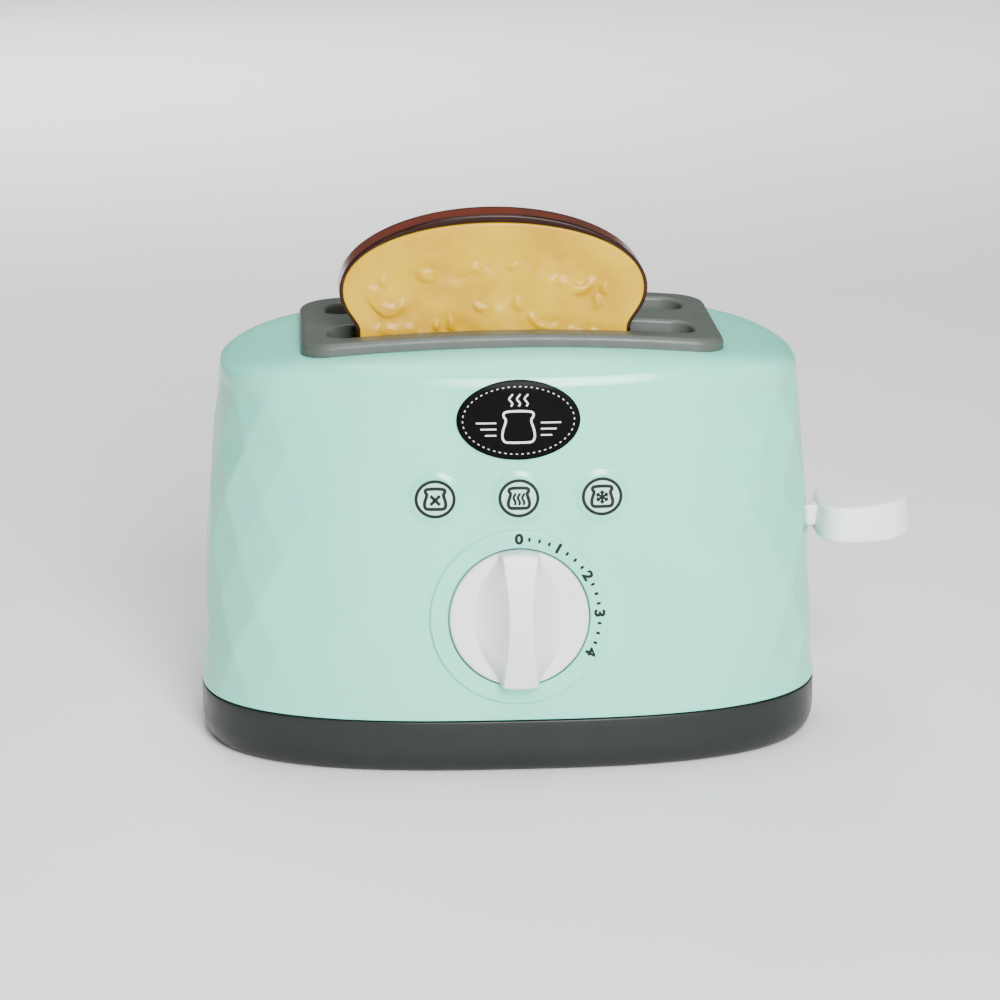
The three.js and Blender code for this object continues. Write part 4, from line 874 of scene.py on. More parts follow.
# Curled ridges of the crumb: centre from the crown's middle, radius, first and last angle, half width, share
RIDGES = (
    (-29.4, -22.4, 5.6, 165, 325, 1.5, 1.0), (-36.2, -19.5, 4.3, -30, 30, 0.8, 0.6),
    (-19.4, -14.7, 2.3, -30, 110, 1.0, 0.8), (-20.0, -13.6, 4.6, 230, 310, 0.9, 0.7),
    (-6.4, -20.0, 4.2, 15, 155, 1.0, 0.7), (5.2, -17.6, 1.6, 50, 130, 0.9, 0.6),
    (20.4, -13.2, 2.0, 115, 205, 0.8, 0.6), (24.1, -16.9, 5.3, 190, 340, 1.2, 0.8),
    (29.0, -22.0, 3.2, -35, 35, 1.0, 0.8), (26.4, -26.4, 3.0, -40, 40, 0.9, 0.7),
    (9.6, -27.0, 2.1, 115, 235, 1.0, 0.7), (-4.0, -29.3, 2.4, 45, 135, 0.9, 0.6),
    (-15.0, -33.0, 2.4, -45, 65, 1.0, 0.9), (-18.6, -32.4, 2.1, -40, 50, 0.9, 0.8),
    (-27.5, -25.0, 9.6, 232, 300, 1.3, 0.8), (-31.6, -27.0, 8.2, 158, 212, 1.1, 0.8),
    (16.5, -27.6, 6.0, 185, 300, 1.1, 0.6), (25.4, -31.8, 4.8, 205, 335, 1.1, 0.7),
)
RIDGE_ROW = 30.0
RIDGE_WARP = 5 * MM
RIDGE_SHIFT = 1.3
RIDGE_SPREAD = 1.8


def crumb_hollow(settings, x, z, side):
    """How deep the crumb's middle lies under its band, without its ridges: soft hollows."""
    size = settings.dent_size
    place = Vector((x / size, side * 3.1, z / size))
    return settings.dent_depth * (1 + 1.1 * noise.noise(place) + 0.45 * noise.noise(place * 2.3))


def crumb_ridges(settings, x, z):
    """Height of the curled ridges at a place; their pattern turns over and repeats towards the foot."""
    bend = noise.noise_vector(Vector((x, 0, z)) / RIDGE_WARP) * RIDGE_SHIFT
    x, z = x / MM + bend.x, z / MM + bend.z
    row = 0
    while z < -6 - RIDGE_ROW * (row + 1):
        row += 1
    height = 0.0
    for level in (row - 1, row, row + 1):
        if level < 0:
            continue
        flip = -1 if level % 2 else 1
        for cx, cz, radius, first, last, half, share_of in RIDGES:
            dx, dz = x - flip * cx, z + RIDGE_ROW * level - cz
            reach = math.hypot(dx, dz)
            if abs(reach - radius) > half * RIDGE_SPREAD:
                continue
            turn = math.degrees(math.atan2(dz, flip * dx))
            middle, spread = (first + last) / 2, (last - first) / 2
            away = abs((turn - middle + 180) % 360 - 180) / spread
            if away >= 1:
                continue
            across = 1 - ((reach - radius) / (half * RIDGE_SPREAD)) ** 2
            height = max(height, share_of * across * across * (1 - away**3))
    return settings.ridge * height


def build_paddle(settings):
    centre_x = PADDLE_LOW.x + settings.inner_reach
    outer = PADDLE_HIGH.x - centre_x
    half_y = (PADDLE_HIGH.y - PADDLE_LOW.y) / 2
    y0 = (PADDLE_LOW.y + PADDLE_HIGH.y) / 2
    low = PADDLE_LOW.z
    high = low + settings.height
    steps = 120

    def ring(inset, height, slope, scale=1.0):
        points = []
        for i in range(steps):
            t = i / steps * math.tau
            inner = math.cos(t) < 0
            reach, power = (settings.inner_reach, 2 / settings.inner_roundness) if inner else (outer, 1)
            x = (reach - inset) * math.copysign(abs(math.cos(t)) ** power, math.cos(t)) * scale
            y = (half_y - inset) * math.copysign(abs(math.sin(t)) ** power, math.sin(t)) * scale
            points.append((centre_x + x, y0 + y, height + x * slope))
        return points

    lip, edge, slope = settings.lip, settings.edge, settings.slope
    rings = [ring(lip, low, 0, k) for k in (0.3, 0.6, 0.85)]
    rings += [ring(lip * (1 - s), low + lip * (1 - c), 0) for s, c in quarter(4)]
    wall_low, wall_high = low + lip, high - edge
    for t in (0.2, 0.45, 0.7, 0.9, 1):
        height = wall_low + (wall_high - wall_low) * t
        rings.append(ring(settings.draft * t, height, slope * t))
    rings += [ring(settings.draft + edge * (1 - c), high - edge * (1 - s), slope) for s, c in quarter(7)[1:]]
    for k in (0.85, 0.65, 0.4, 0.15):
        rings.append(ring(settings.draft + edge, high + settings.crown * (1 - k * k), slope, k))
    made = piece("paddle_shell", *loft(rings), [white_plastic(settings)], "carriage", 50)
    z0 = (TIP_SCREW_LOW.z + TIP_SCREW_HIGH.z) / 2
    neck_y, neck_z = settings.arm_half_width + settings.neck_wall, settings.arm_half_height + settings.neck_wall
    section = rounded_rectangle(neck_y, neck_z, 0.8 * MM, neck_z)
    ends = PADDLE_LOW.x - settings.neck_reach, PADDLE_LOW.x + settings.inner_reach / 2
    neck = loft([[(x, y0 + y, z0 + z) for y, z in section] for x in ends])
    merge_in(made, *neck, 50)
    reach = PADDLE_LOW.x + settings.arm_in
    far = [reach, y0 + settings.arm_half_width, z0 + settings.arm_half_height]
    near = [PADDLE_LOW.x - settings.arm_in, y0 - settings.arm_half_width, z0 - settings.arm_half_height]
    cut_away(made, *block(near, far), 50)
    seat = TIP_SCREW_HIGH.x - 2.15 * MM
    tip = PADDLE_HIGH.x + 2 * MM
    along = Matrix.Translation((0, y0, z0)) @ Matrix.Rotation(math.pi / 2, 4, "Y")
    cut_away(made, *lathe([(settings.screw_head, seat), (settings.screw_head, tip)], 40, along), 50)
    cut_away(made, *lathe([(1.55 * MM, reach - 1 * MM), (1.55 * MM, tip)], 24, along), 50)
    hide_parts("lever_paddle")
    return made


def knob_height(settings, x, y):
    """Height of the knob's face over its rim level; x across the bar, y along it."""
    radius = math.hypot(x, y)
    along = y / settings.radius
    half = settings.bar_middle + (settings.bar_end - settings.bar_middle) * along * along
    aside = abs(x) - half
    inside = settings.radius - radius
    hollow = float(smooth_step(0, settings.radius * 0.5, inside))
    level = -settings.scoop * hollow
    foot = settings.bar_foot
    root = foot + (settings.bar_root - foot) * float(smooth_step(0, settings.radius * 0.4, inside))
    climb = (1 - min(max(aside, 0) / root, 1)) ** 1.7
    crest = settings.bar_rise - settings.end_fall * along * along
    return level + (crest - level) * climb


def build_knob(settings, housing):
    place = dial_frame(housing)
    back = settings.seat_gap - housing.seat_depth
    rim = settings.rim_height
    steps, levels = 288, 96
    edge = settings.edge

    def ring(radius, height_at):
        points = []
        for i in range(steps):
            t = i / steps * math.tau
            x, y = radius * math.cos(t), radius * math.sin(t)
            points.append(place @ Vector((x, y, height_at(x, y))))
        return points

    def top(x, y):
        return rim + knob_height(settings, x, y)

    bore = settings.bore
    rings = [ring(bore * share_of, lambda x, y: settings.bore_end) for share_of in (0.5, 1)]
    rings.append(ring(bore, lambda x, y: back))
    rings += [ring(settings.radius * 0.5, lambda x, y: back), ring(settings.radius - 0.3 * MM, lambda x, y: back)]
    rings.append(ring(settings.radius, lambda x, y: back + 0.3 * MM))
    for t in (0.25, 0.5, 0.75):
        rings.append(ring(settings.radius, lambda x, y, t=t: back + 0.3 * MM + (top(x, y) - edge - back - 0.3 * MM) * t))
    for s, c in quarter(7):
        radius = settings.radius - edge * (1 - c)
        rings.append(ring(radius, lambda x, y, s=s: top(x, y) - edge * (1 - s)))
    inner = settings.radius - edge
    for level in range(1, levels):
        rings.append(ring(inner * (1 - level / levels), top))
    made = piece("knob_cap", *loft(rings), [knob_plastic()], "knob", 50)
    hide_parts("timer_knob")
    return made


# Printed marks


def stroke(points, width, closed=False):
    """A flat line of even width through points, as quads in its own plane."""
    n = len(points)
    spots = [Vector(p) for p in points]
    vertices = []
    for i, spot in enumerate(spots):
        before = spots[(i - 1) % n] if closed or i else spot
        after = spots[(i + 1) % n] if closed or i < n - 1 else spot
        along = (after - before).normalized()
        side = Vector((-along.y, along.x)) * width / 2
        vertices += [spot + side, spot - side]
    faces = [
        (2 * i, 2 * i + 1, (2 * i + 3) % (2 * n), (2 * i + 2) % (2 * n)) for i in range(n if closed else n - 1)
    ]
    return vertices, faces


def disc(centre, radius, steps=16):
    turns = [i / steps * math.tau for i in range(steps)]
    rim = [Vector((centre[0] + radius * math.cos(t), centre[1] + radius * math.sin(t))) for t in turns]
    return rim, [tuple(range(steps))]


def circle(radius, steps=96):
    return [(radius * math.cos(i / steps * math.tau), radius * math.sin(i / steps * math.tau)) for i in range(steps)]


def bread_outline(size):
    """A plain bread outline about the origin: two lobes over a narrower foot."""
    half = size / 2
    key = [
        (0.0, -0.96), (0.5, -0.96), (0.86, -0.93), (1.0, -0.66), (0.98, -0.3), (0.86, 0.08), (0.77, 0.34),
        (0.79, 0.5), (0.92, 0.64), (0.92, 0.83), (0.8, 0.93), (0.45, 0.97), (0.0, 0.98),
    ]
    right = [(x * half, y * half) for x, y in key]
    loop = right + [(-x, y) for x, y in right[1:-1]][::-1]
    return rounded(loop, 3, closed=True)


def rounded(points, times, closed):
    """Cuts the corners of a line again and again until it is smooth."""
    for _ in range(times):
        n = len(points)
        made = [] if closed else [points[0]]
        for i in range(n if closed else n - 1):
            a, b = points[i], points[(i + 1) % n]
            made.append((a[0] * 0.75 + b[0] * 0.25, a[1] * 0.75 + b[1] * 0.25))
            made.append((a[0] * 0.25 + b[0] * 0.75, a[1] * 0.25 + b[1] * 0.75))
        if not closed:
            made.append(points[-1])
        points = made
    return points


def wave(x, low, high, swing):
    """An upright wavy line."""
    steps = 28
    return [
        (x + swing * math.sin(i / steps * math.tau * 1.25), low + (high - low) * i / steps)
        for i in range(steps + 1)
    ]


def printed(name, parts, place_at, thickness, material, body):
    """Flat marks laid on a surface: place_at turns a flat point and a height into a place."""
    vertices, faces = joined(*parts)
    solid_vertices = [place_at(v[0], v[1], thickness) for v in vertices]
    made = piece(name, solid_vertices, faces, [material], body, 30)
    apply_modifier(made, "SOLIDIFY", thickness=thickness, offset=-1 if facing_out(made) else 1)
    clean(made, 30)
    return made


def facing_out(made):
    """Whether the faces look towards the player, -Y."""
    return sum(polygon.normal.y * polygon.area for polygon in made.data.polygons) < 0


def digit_shape(text, size):
    """A number from the built-in plain face, as flat vertices and faces about its middle."""
    curve = bpy.data.curves.new("number", "FONT")
    curve.body = text
    curve.size = size * 1.38
    curve.offset = size * 0.07
    curve.align_x, curve.align_y = "CENTER", "CENTER"
    curve.resolution_u = 6
    holder = bpy.data.objects.new("number", curve)
    bpy.context.scene.collection.objects.link(holder)
    bpy.context.view_layer.update()
    mesh = bpy.data.meshes.new_from_object(holder.evaluated_get(bpy.context.evaluated_depsgraph_get()))
    points = [Vector((v.co.x, v.co.y)) for v in mesh.vertices]
    faces = [tuple(p.vertices) for p in mesh.polygons]
    bpy.data.objects.remove(holder)
    bpy.data.curves.remove(curve)
    bpy.data.meshes.remove(mesh)
    middle = Vector(
        (
            (min(p.x for p in points) + max(p.x for p in points)) / 2,
            (min(p.y for p in points) + max(p.y for p in points)) / 2,
        )
    )
    stretch = Matrix.Diagonal((1.1, 0.95))
    return [stretch @ (p - middle) for p in points], faces


def build_dial_print(settings, housing):
    place = dial_frame(housing)
    parts = []
    radius = settings.digit_radius
    for number in range(5):
        turn = -number * settings.digit_step
        spin = Matrix.Rotation(turn, 2)
        vertices, faces = digit_shape(str(number), settings.digit_size)
        parts.append(([spin @ (v + Vector((0, radius))) for v in vertices], faces))
        if number == 4:
            continue
        for dot in range(1, settings.dots + 1):
            at = Matrix.Rotation(turn - settings.digit_step * dot / (settings.dots + 1), 2)
            half, tall = settings.dot_size * 0.32, settings.dot_size / 2
            mark = [Vector((sx * half, radius + sy * tall)) for sx, sy in rounded([(-1, -1), (1, -1), (1, 1), (-1, 1)], 2, True)]
            parts.append(([at @ v for v in mark], [tuple(range(len(mark)))]))

    def on_dial(x, y, out):
        return place @ Vector((x, y, housing.dial_proud + out))

    return printed("dial_numbers", parts, on_dial, settings.ink, black_ink(settings), "body")


def build_badge(settings, housing):
    """An oval plate that follows the face, its border of dashes and a plain slice with rising steam."""
    x0 = (BADGE_LOW.x + BADGE_HIGH.x) / 2 - MIDDLE.x
    half_x, half_z = (BADGE_HIGH.x - BADGE_LOW.x) / 2, (BADGE_HIGH.z - BADGE_LOW.z) / 2 - settings.badge_trim
    z0 = BADGE_LOW.z + half_z + settings.badge_trim / 2
    steps, thick, bevel = 144, 0.7 * MM, 0.25 * MM

    def on_face(x, z, out):
        return front_point(housing, x0 + x, z0 + z, out)

    def ring(inset, out, scale=1.0):
        turns = (i / steps * math.tau for i in range(steps))
        return [
            on_face((half_x - inset) * math.cos(t) * scale, (half_z - inset) * math.sin(t) * scale, out)
            for t in turns
        ]

    rings = [ring(0, -0.4 * MM, k) for k in (0.5, 1.0)]
    rings += [ring(bevel * (1 - c), thick - bevel * (1 - s)) for s, c in quarter(4)]
    rings += [ring(bevel, thick, k) for k in (0.9, 0.8, 0.65, 0.5, 0.35, 0.2, 0.08)]
    plate = piece("badge_oval", *loft(rings), [badge_film(settings)], "body", 40)
    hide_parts("badge_plate")

    parts = []
    reach_x, reach_z = half_x - settings.border, half_z - settings.border
    dense = [(reach_x * math.cos(t), reach_z * math.sin(t)) for t in np.linspace(0, math.tau, 2001)]
    run = np.concatenate([[0], np.cumsum([math.dist(a, b) for a, b in zip(dense, dense[1:])])])
    for i in range(settings.dashes):
        start = run[-1] * i / settings.dashes
        at = [start + settings.dash * k / 3 for k in range(4)]
        xs = np.interp(at, run, [p[0] for p in dense])
        zs = np.interp(at, run, [p[1] for p in dense])
        parts.append(stroke(list(zip(xs, zs)), settings.dash_line))
    bread = [(x, z - 1.9 * MM) for x, z in bread_outline(9.4 * MM)]
    parts.append(stroke(bread, 0.62 * MM, closed=True))
    for x in (-2.2 * MM, 0, 2.2 * MM):
        parts.append(stroke(wave(x, 4.1 * MM, 7.6 * MM, 0.45 * MM), 0.5 * MM))
    for side in (-1, 1):
        for k, z in enumerate((-0.7 * MM, -2.5 * MM, -4.3 * MM)):
            start, end = 6.4 * MM, (12.2 - 1.3 * k) * MM
            line = [(side * (start + (end - start) * i / 6), z) for i in range(7)]
            parts.append(stroke(line, 0.42 * MM))

    def on_badge(x, z, out):
        return on_face(x, z, thick + out)

    return printed("badge_print", parts, on_badge, settings.ink, pale_ink(settings), "body")


def icon_marks(settings, kind):
    """Ring, bread outline and one sign: a cross, three waves or a snow star."""
    oval = [(x, y * settings.ring_flat) for x, y in circle(settings.ring_radius)]
    parts = [stroke(oval, settings.ring_line, closed=True)]
    parts.append(stroke(bread_outline(settings.slice_size), settings.line, closed=True))
    reach = settings.slice_size * 0.22
    if kind == 0:
        for side in (-1, 1):
            line = [(side * reach * (2 * i / 8 - 1), reach * (2 * i / 8 - 1) - 0.35 * MM) for i in range(9)]
            parts.append(stroke(line, settings.line * 0.95))
    elif kind == 1:
        for x in (-1.25 * MM, 0, 1.25 * MM):
            parts.append(stroke(wave(x, -2.0 * MM, 1.5 * MM, 0.27 * MM), settings.line * 0.75))
    else:
        for spoke in range(6):
            t = spoke / 6 * math.tau + math.pi / 2
            c, s = math.cos(t), math.sin(t)
            tip = 1.95 * MM
            line = [(c * tip * i / 6, s * tip * i / 6 - 0.2 * MM) for i in range(7)]
            parts.append(stroke(line, settings.line * 0.7))
            for side in (-1, 1):
                bend = t + side * math.radians(48)
                root = 1.05 * MM
                barb = [
                    (c * root + math.cos(bend) * 0.75 * MM * i / 3, s * root + math.sin(bend) * 0.75 * MM * i / 3 - 0.2 * MM)
                    for i in range(4)
                ]
                parts.append(stroke(barb, settings.line * 0.6))
    return parts


def build_icon(settings, housing, index):
    low, high = ICON_BOX[index]
    x, height = (low.x + high.x) / 2 - MIDDLE.x, (low.z + high.z) / 2
    place = face_frame(housing, x, height)
    radius = (high.x - low.x) / 2
    base, thick = housing.pad_proud - 0.05 * MM, 0.3 * MM
    bevel = 0.15 * MM
    profile = [(radius, base), (radius, base + thick - bevel), (radius - bevel, base + thick)]
    profile += [(radius * k, base + thick) for k in (0.85, 0.6, 0.3)]
    oval = place @ Matrix.Diagonal((1, settings.ring_flat, 1, 1))
    ground = piece(f"icon_disc_{index + 1}", *lathe(profile, 96, oval), [icon_film(settings)], "body", 30)
    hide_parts(f"icon_sticker_{index + 1}")

    def on_icon(px, py, out):
        return place @ Vector((px, py, base + thick + out))

    marks = icon_marks(settings, index)
    name = f"icon_print_{index + 1}"
    return printed(name, marks, on_icon, settings.ink, black_ink(settings), "body")


# Finishes


def add(tree, kind, settings=None, links=None):
    """Adds a node: settings go to its sockets or its own values, links to its sockets."""
    node = tree.nodes.new(kind)
    for key, value in (settings or {}).items():
        if isinstance(key, int) or key in node.inputs:
            node.inputs[key].default_value = value
        else:
            setattr(node, key, value)
    for key, source in (links or {}).items():
        tree.links.new(source, node.inputs[key])
    return node


def surface(name, shader_settings):
    """A new material with its shader set, its tree and its coordinates in metres."""
    material = bpy.data.materials.new(name)
    material.use_nodes = True
    tree = material.node_tree
    shader = tree.nodes["Principled BSDF"]
    for key, value in shader_settings.items():
        shader.inputs[key].default_value = value
    coordinates = add(tree, "ShaderNodeTexCoord").outputs["Object"]
    return material, tree, shader, coordinates


def per(size):
    """Scale of a pattern whose features have a size."""
    return 1 / size


def mottle(tree, shader, coordinates, first, second, size, detail=2.0, low=0.35, high=0.65):
    """Runs the base colour between two colours over soft patches of a size."""
    patches = add(
        tree, "ShaderNodeTexNoise", {"Scale": per(size), "Detail": detail, "Roughness": 0.5}, {"Vector": coordinates}
    )
    ramp = add(tree, "ShaderNodeValToRGB", links={"Fac": patches.outputs["Fac"]})
    ramp.color_ramp.elements[0].position, ramp.color_ramp.elements[1].position = low, high
    ramp.color_ramp.elements[0].color, ramp.color_ramp.elements[1].color = first, second
    tree.links.new(ramp.outputs["Color"], shader.inputs["Base Color"])
    return patches


def vary_roughness(tree, shader, coordinates, size, low, high):
    """Runs the roughness between two values over patches of a size, as handling and moulding leave it."""
    patches = add(tree, "ShaderNodeTexNoise", {"Scale": per(size), "Detail": 3.0}, {"Vector": coordinates})
    spread = add(
        tree, "ShaderNodeMapRange", {"From Min": 0.3, "From Max": 0.7, "To Min": low, "To Max": high},
        {"Value": patches.outputs["Fac"]},
    )
    tree.links.new(spread.outputs["Result"], shader.inputs["Roughness"])


def grain(tree, shader, coordinates, size, depth, strength=1.0, detail=2.0):
    """Fine relief of a size and a depth."""
    bumps = add(tree, "ShaderNodeTexNoise", {"Scale": per(size), "Detail": detail}, {"Vector": coordinates})
    relief = add(
        tree, "ShaderNodeBump", {"Strength": strength, "Distance": depth}, {"Height": bumps.outputs["Fac"]}
    )
    tree.links.new(relief.outputs["Normal"], shader.inputs["Normal"])


def tint(code, factor):
    """A linear colour made darker or lighter."""
    return (*(min(1.0, c * factor) for c in code[:3]), 1.0)


def mint_plastic(settings):
    # Injection-moulded ABS from a polished tool: an even colour, a clear gloss and a faint long waviness.
    material, tree, shader, at = surface("moulded_mint_abs", {"IOR": 1.53, "Subsurface Weight": 0.04})
    shader.inputs["Subsurface Radius"].default_value = (0.002, 0.003, 0.0025)
    shader.inputs["Subsurface Scale"].default_value = 1.0
    base = tuple(settings.mint)
    mottle(tree, shader, at, tint(base, 0.975), tint(base, 1.02), 28 * MM)
    vary_roughness(tree, shader, at, 9 * MM, 0.17, 0.23)
    # Real moulding ripple is a few micrometres deep; it is drawn 20 deep so that it shows in the gloss.
    grain(tree, shader, at, 6 * MM, 0.02 * MM, 0.6)
    return material


def grey_plastic(settings, name):
    # Moulded polypropylene from a lightly textured tool: satin, with a fine even grain.
    material, tree, shader, at = surface(name, {"IOR": 1.49, "Specular IOR Level": 0.35})
    base = tuple(settings.grey)
    mottle(tree, shader, at, tint(base, 0.94), tint(base, 1.06), 5 * MM, detail=4.0)
    vary_roughness(tree, shader, at, 7 * MM, 0.34, 0.44)
    # Tool grain is near 0.1 mm; it is drawn at 0.45 mm to show from a step away.
    grain(tree, shader, at, 0.45 * MM, 0.02 * MM, 0.5, detail=3.0)
    return material


def white_plastic(settings):
    # Moulded white ABS, half gloss, with the slight grey of a thick section.
    material, tree, shader, at = surface("moulded_white_abs", {"IOR": 1.53, "Subsurface Weight": 0.05})
    shader.inputs["Subsurface Radius"].default_value = (0.002, 0.002, 0.002)
    shader.inputs["Subsurface Scale"].default_value = 1.0
    base = tuple(settings.white)
    mottle(tree, shader, at, tint(base, 0.97), tint(base, 1.01), 12 * MM)
    vary_roughness(tree, shader, at, 4 * MM, 0.28, 0.38)
    grain(tree, shader, at, 1.2 * MM, 0.01 * MM, 0.5)
    return material


def knob_plastic():
    # Moulded white ABS with a silky tool finish, which keeps the scoops' shading soft. Its white is drawn greyer than
    # the paddle's, as painted shade for the scoops.
    material, tree, shader, at = surface("silk_white_abs", {"IOR": 1.53, "Subsurface Weight": 0.05})
    shader.inputs["Subsurface Radius"].default_value = (0.002, 0.002, 0.002)
    shader.inputs["Subsurface Scale"].default_value = 1.0
    base = linear("#dfdfe2")
    mottle(tree, shader, at, tint(base, 0.98), tint(base, 1.01), 10 * MM)
    vary_roughness(tree, shader, at, 4 * MM, 0.34, 0.44)
    grain(tree, shader, at, 1.0 * MM, 0.01 * MM, 0.5)
    return material


def crust_plastic(settings):
    # Glossy brown polystyrene in soft patches of dark and paler red-brown, the paler over the outer face. Painted
    # shade darkens it towards each face, most on the rim beside the crumb.
    material, tree, shader, at = surface("glossy_brown_polystyrene", {"IOR": 1.55, "Specular IOR Level": 0.15})
    patches = add(tree, "ShaderNodeTexNoise", {"Scale": per(14 * MM), "Detail": 3.0}, {"Vector": at})
    middle, half = (CRUST_LOW.y + CRUST_HIGH.y) / 2, (CRUST_HIGH.y - CRUST_LOW.y) / 2
    depth = add(tree, "ShaderNodeSeparateXYZ", links={"Vector": at}).outputs["Y"]
    off = add(tree, "ShaderNodeMath", {"operation": "SUBTRACT", 1: middle}, {0: depth}).outputs["Value"]
    off = add(tree, "ShaderNodeMath", {"operation": "ABSOLUTE"}, {0: off}).outputs["Value"]
    # Painted shade: the crust runs to its dark brown over the last few millimetres towards each face
    rim = add(
        tree, "ShaderNodeMapRange",
        {"From Min": half - 3.5 * MM, "From Max": half - 0.2 * MM, "To Min": 0.25, "To Max": -0.35}, {"Value": off},
    ).outputs["Result"]
    tone = add(tree, "ShaderNodeMath", {"operation": "ADD"}, {0: patches.outputs["Fac"], 1: rim}).outputs["Value"]
    ramp = add(tree, "ShaderNodeValToRGB", links={"Fac": tone})
    ramp.color_ramp.elements[0].position, ramp.color_ramp.elements[1].position = 0.25, 0.75
    ramp.color_ramp.elements[0].color = tuple(settings.crust)
    ramp.color_ramp.elements[1].color = tuple(settings.crust_light)
    tree.links.new(ramp.outputs["Color"], shader.inputs["Base Color"])
    vary_roughness(tree, shader, at, 5 * MM, 0.16, 0.26)
    grain(tree, shader, at, 2.5 * MM, 0.05 * MM, 0.5)
    return material


def crumb_plastic(settings):
    # Glossy yellow polystyrene over a carved crumb: patches of deeper yellow, wet-looking dents.
    material, tree, shader, at = surface("glossy_yellow_polystyrene", {"IOR": 1.55, "Specular IOR Level": 0.18})
    mottle(tree, shader, at, tuple(settings.crumb_deep), tuple(settings.crumb), 13 * MM, 3.0, 0.3, 0.6)
    vary_roughness(tree, shader, at, 5 * MM, 0.22, 0.34)
    grain(tree, shader, at, 3.0 * MM, 0.05 * MM, 0.5)
    return material


def black_ink(settings):
    # Pad-printed black enamel: thin, slightly uneven and half matt.
    material, tree, shader, at = surface("printed_black_enamel", {"IOR": 1.5, "Specular IOR Level": 0.2})
    base = tuple(settings.black)
    mottle(tree, shader, at, tint(base, 0.8), tint(base, 1.5), 0.8 * MM)
    vary_roughness(tree, shader, at, 1.5 * MM, 0.35, 0.5)
    return material


def pale_ink(settings):
    # Screen-printed off-white ink, a little greyed by the black under it.
    material, tree, shader, at = surface("printed_white_ink", {"IOR": 1.5})
    base = tuple(settings.pale)
    mottle(tree, shader, at, tint(base, 0.82), base, 0.7 * MM)
    vary_roughness(tree, shader, at, 1.5 * MM, 0.4, 0.55)
    return material


def badge_film(settings):
    # Black vinyl film with a faint woven speckle under a gloss laminate.
    material, tree, shader, at = surface("laminated_black_vinyl", {"IOR": 1.5, "Specular IOR Level": 0.05})
    base = tuple(settings.badge_ground)
    mottle(tree, shader, at, tint(base, 0.6), tint(base, 1.5), 0.6 * MM, detail=4.0)
    vary_roughness(tree, shader, at, 3 * MM, 0.3, 0.4)
    return material


def icon_film(settings):
    # Clear label film over the mint pad, which reads a little greyer than the housing.
    material, tree, shader, at = surface("clear_label_film", {"IOR": 1.5})
    base = tuple(settings.icon_ground)
    mottle(tree, shader, at, tint(base, 0.96), tint(base, 1.02), 3 * MM)
    vary_roughness(tree, shader, at, 2 * MM, 0.25, 0.35)
    return material


def nylon():
    # Natural nylon mouldings: a warm milky white, satin, a little translucent.
    material, tree, shader, at = surface("natural_nylon", {"IOR": 1.53, "Subsurface Weight": 0.1})
    shader.inputs["Subsurface Radius"].default_value = (0.003, 0.003, 0.002)
    shader.inputs["Subsurface Scale"].default_value = 1.0
    base = linear("#e4e0d3")
    mottle(tree, shader, at, tint(base, 0.95), tint(base, 1.01), 8 * MM)
    vary_roughness(tree, shader, at, 4 * MM, 0.42, 0.55)
    grain(tree, shader, at, 0.8 * MM, 0.015 * MM, 0.5)
    return material


def drawn_steel():
    # Cold-drawn and headed steel, zinc plated: bright, with fine drawing lines and duller patches.
    material, tree, shader, at = surface("zinc_plated_steel", {"Metallic": 1.0})
    mottle(tree, shader, at, linear("#a9adaf"), linear("#c3c6c6"), 3 * MM, detail=4.0)
    vary_roughness(tree, shader, at, 2 * MM, 0.24, 0.4)
    grain(tree, shader, at, 0.3 * MM, 0.01 * MM, 0.4)
    return material


def rolled_brass():
    # Rolled brass sheet for the clockwork's plates: warm yellow, slightly tarnished.
    material, tree, shader, at = surface("rolled_brass", {"Metallic": 1.0})
    mottle(tree, shader, at, linear("#9a7c3f"), linear("#c2a35c"), 6 * MM, detail=4.0)
    vary_roughness(tree, shader, at, 3 * MM, 0.3, 0.48)
    grain(tree, shader, at, 0.4 * MM, 0.01 * MM, 0.4)
    return material


INNER_PIECES = {
    # Painted shade: the wells are drawn in the base's dark grey so that the slots read dark down inside
    "grey": ("bread_well_front", "bread_well_rear"),
    "nylon": (
        "toast_carriage", "main_gear", "release_cam", "middle_gear",
        "escape_gear", "pallet", "latch_hook",
    ),
    "brass": (
        "timer_front_plate", "timer_back_plate", "timer_pillar_1", "timer_pillar_2", "timer_pillar_3",
        "timer_pillar_4",
    ),
}
REPLACED = (
    "housing", "base_tray", "slot_trim", "toast_crust", "toast_face_front", "toast_face_rear", "lever_paddle",
    "timer_knob", "badge_plate", "icon_sticker_1", "icon_sticker_2", "icon_sticker_3",
)


def finish_inner_pieces(grey):
    """Gives each piece that keeps its solid its finish: grey, nylon, brass, or else steel."""
    finishes = {"grey": grey, "nylon": nylon(), "brass": rolled_brass(), "steel": drawn_steel()}
    for name, node in frame["nodes"].items():
        if name in REPLACED:
            continue
        kind = next((k for k, names in INNER_PIECES.items() if name in names), "steel")
        node.data.materials.clear()
        node.data.materials.append(finishes[kind])


# Stage


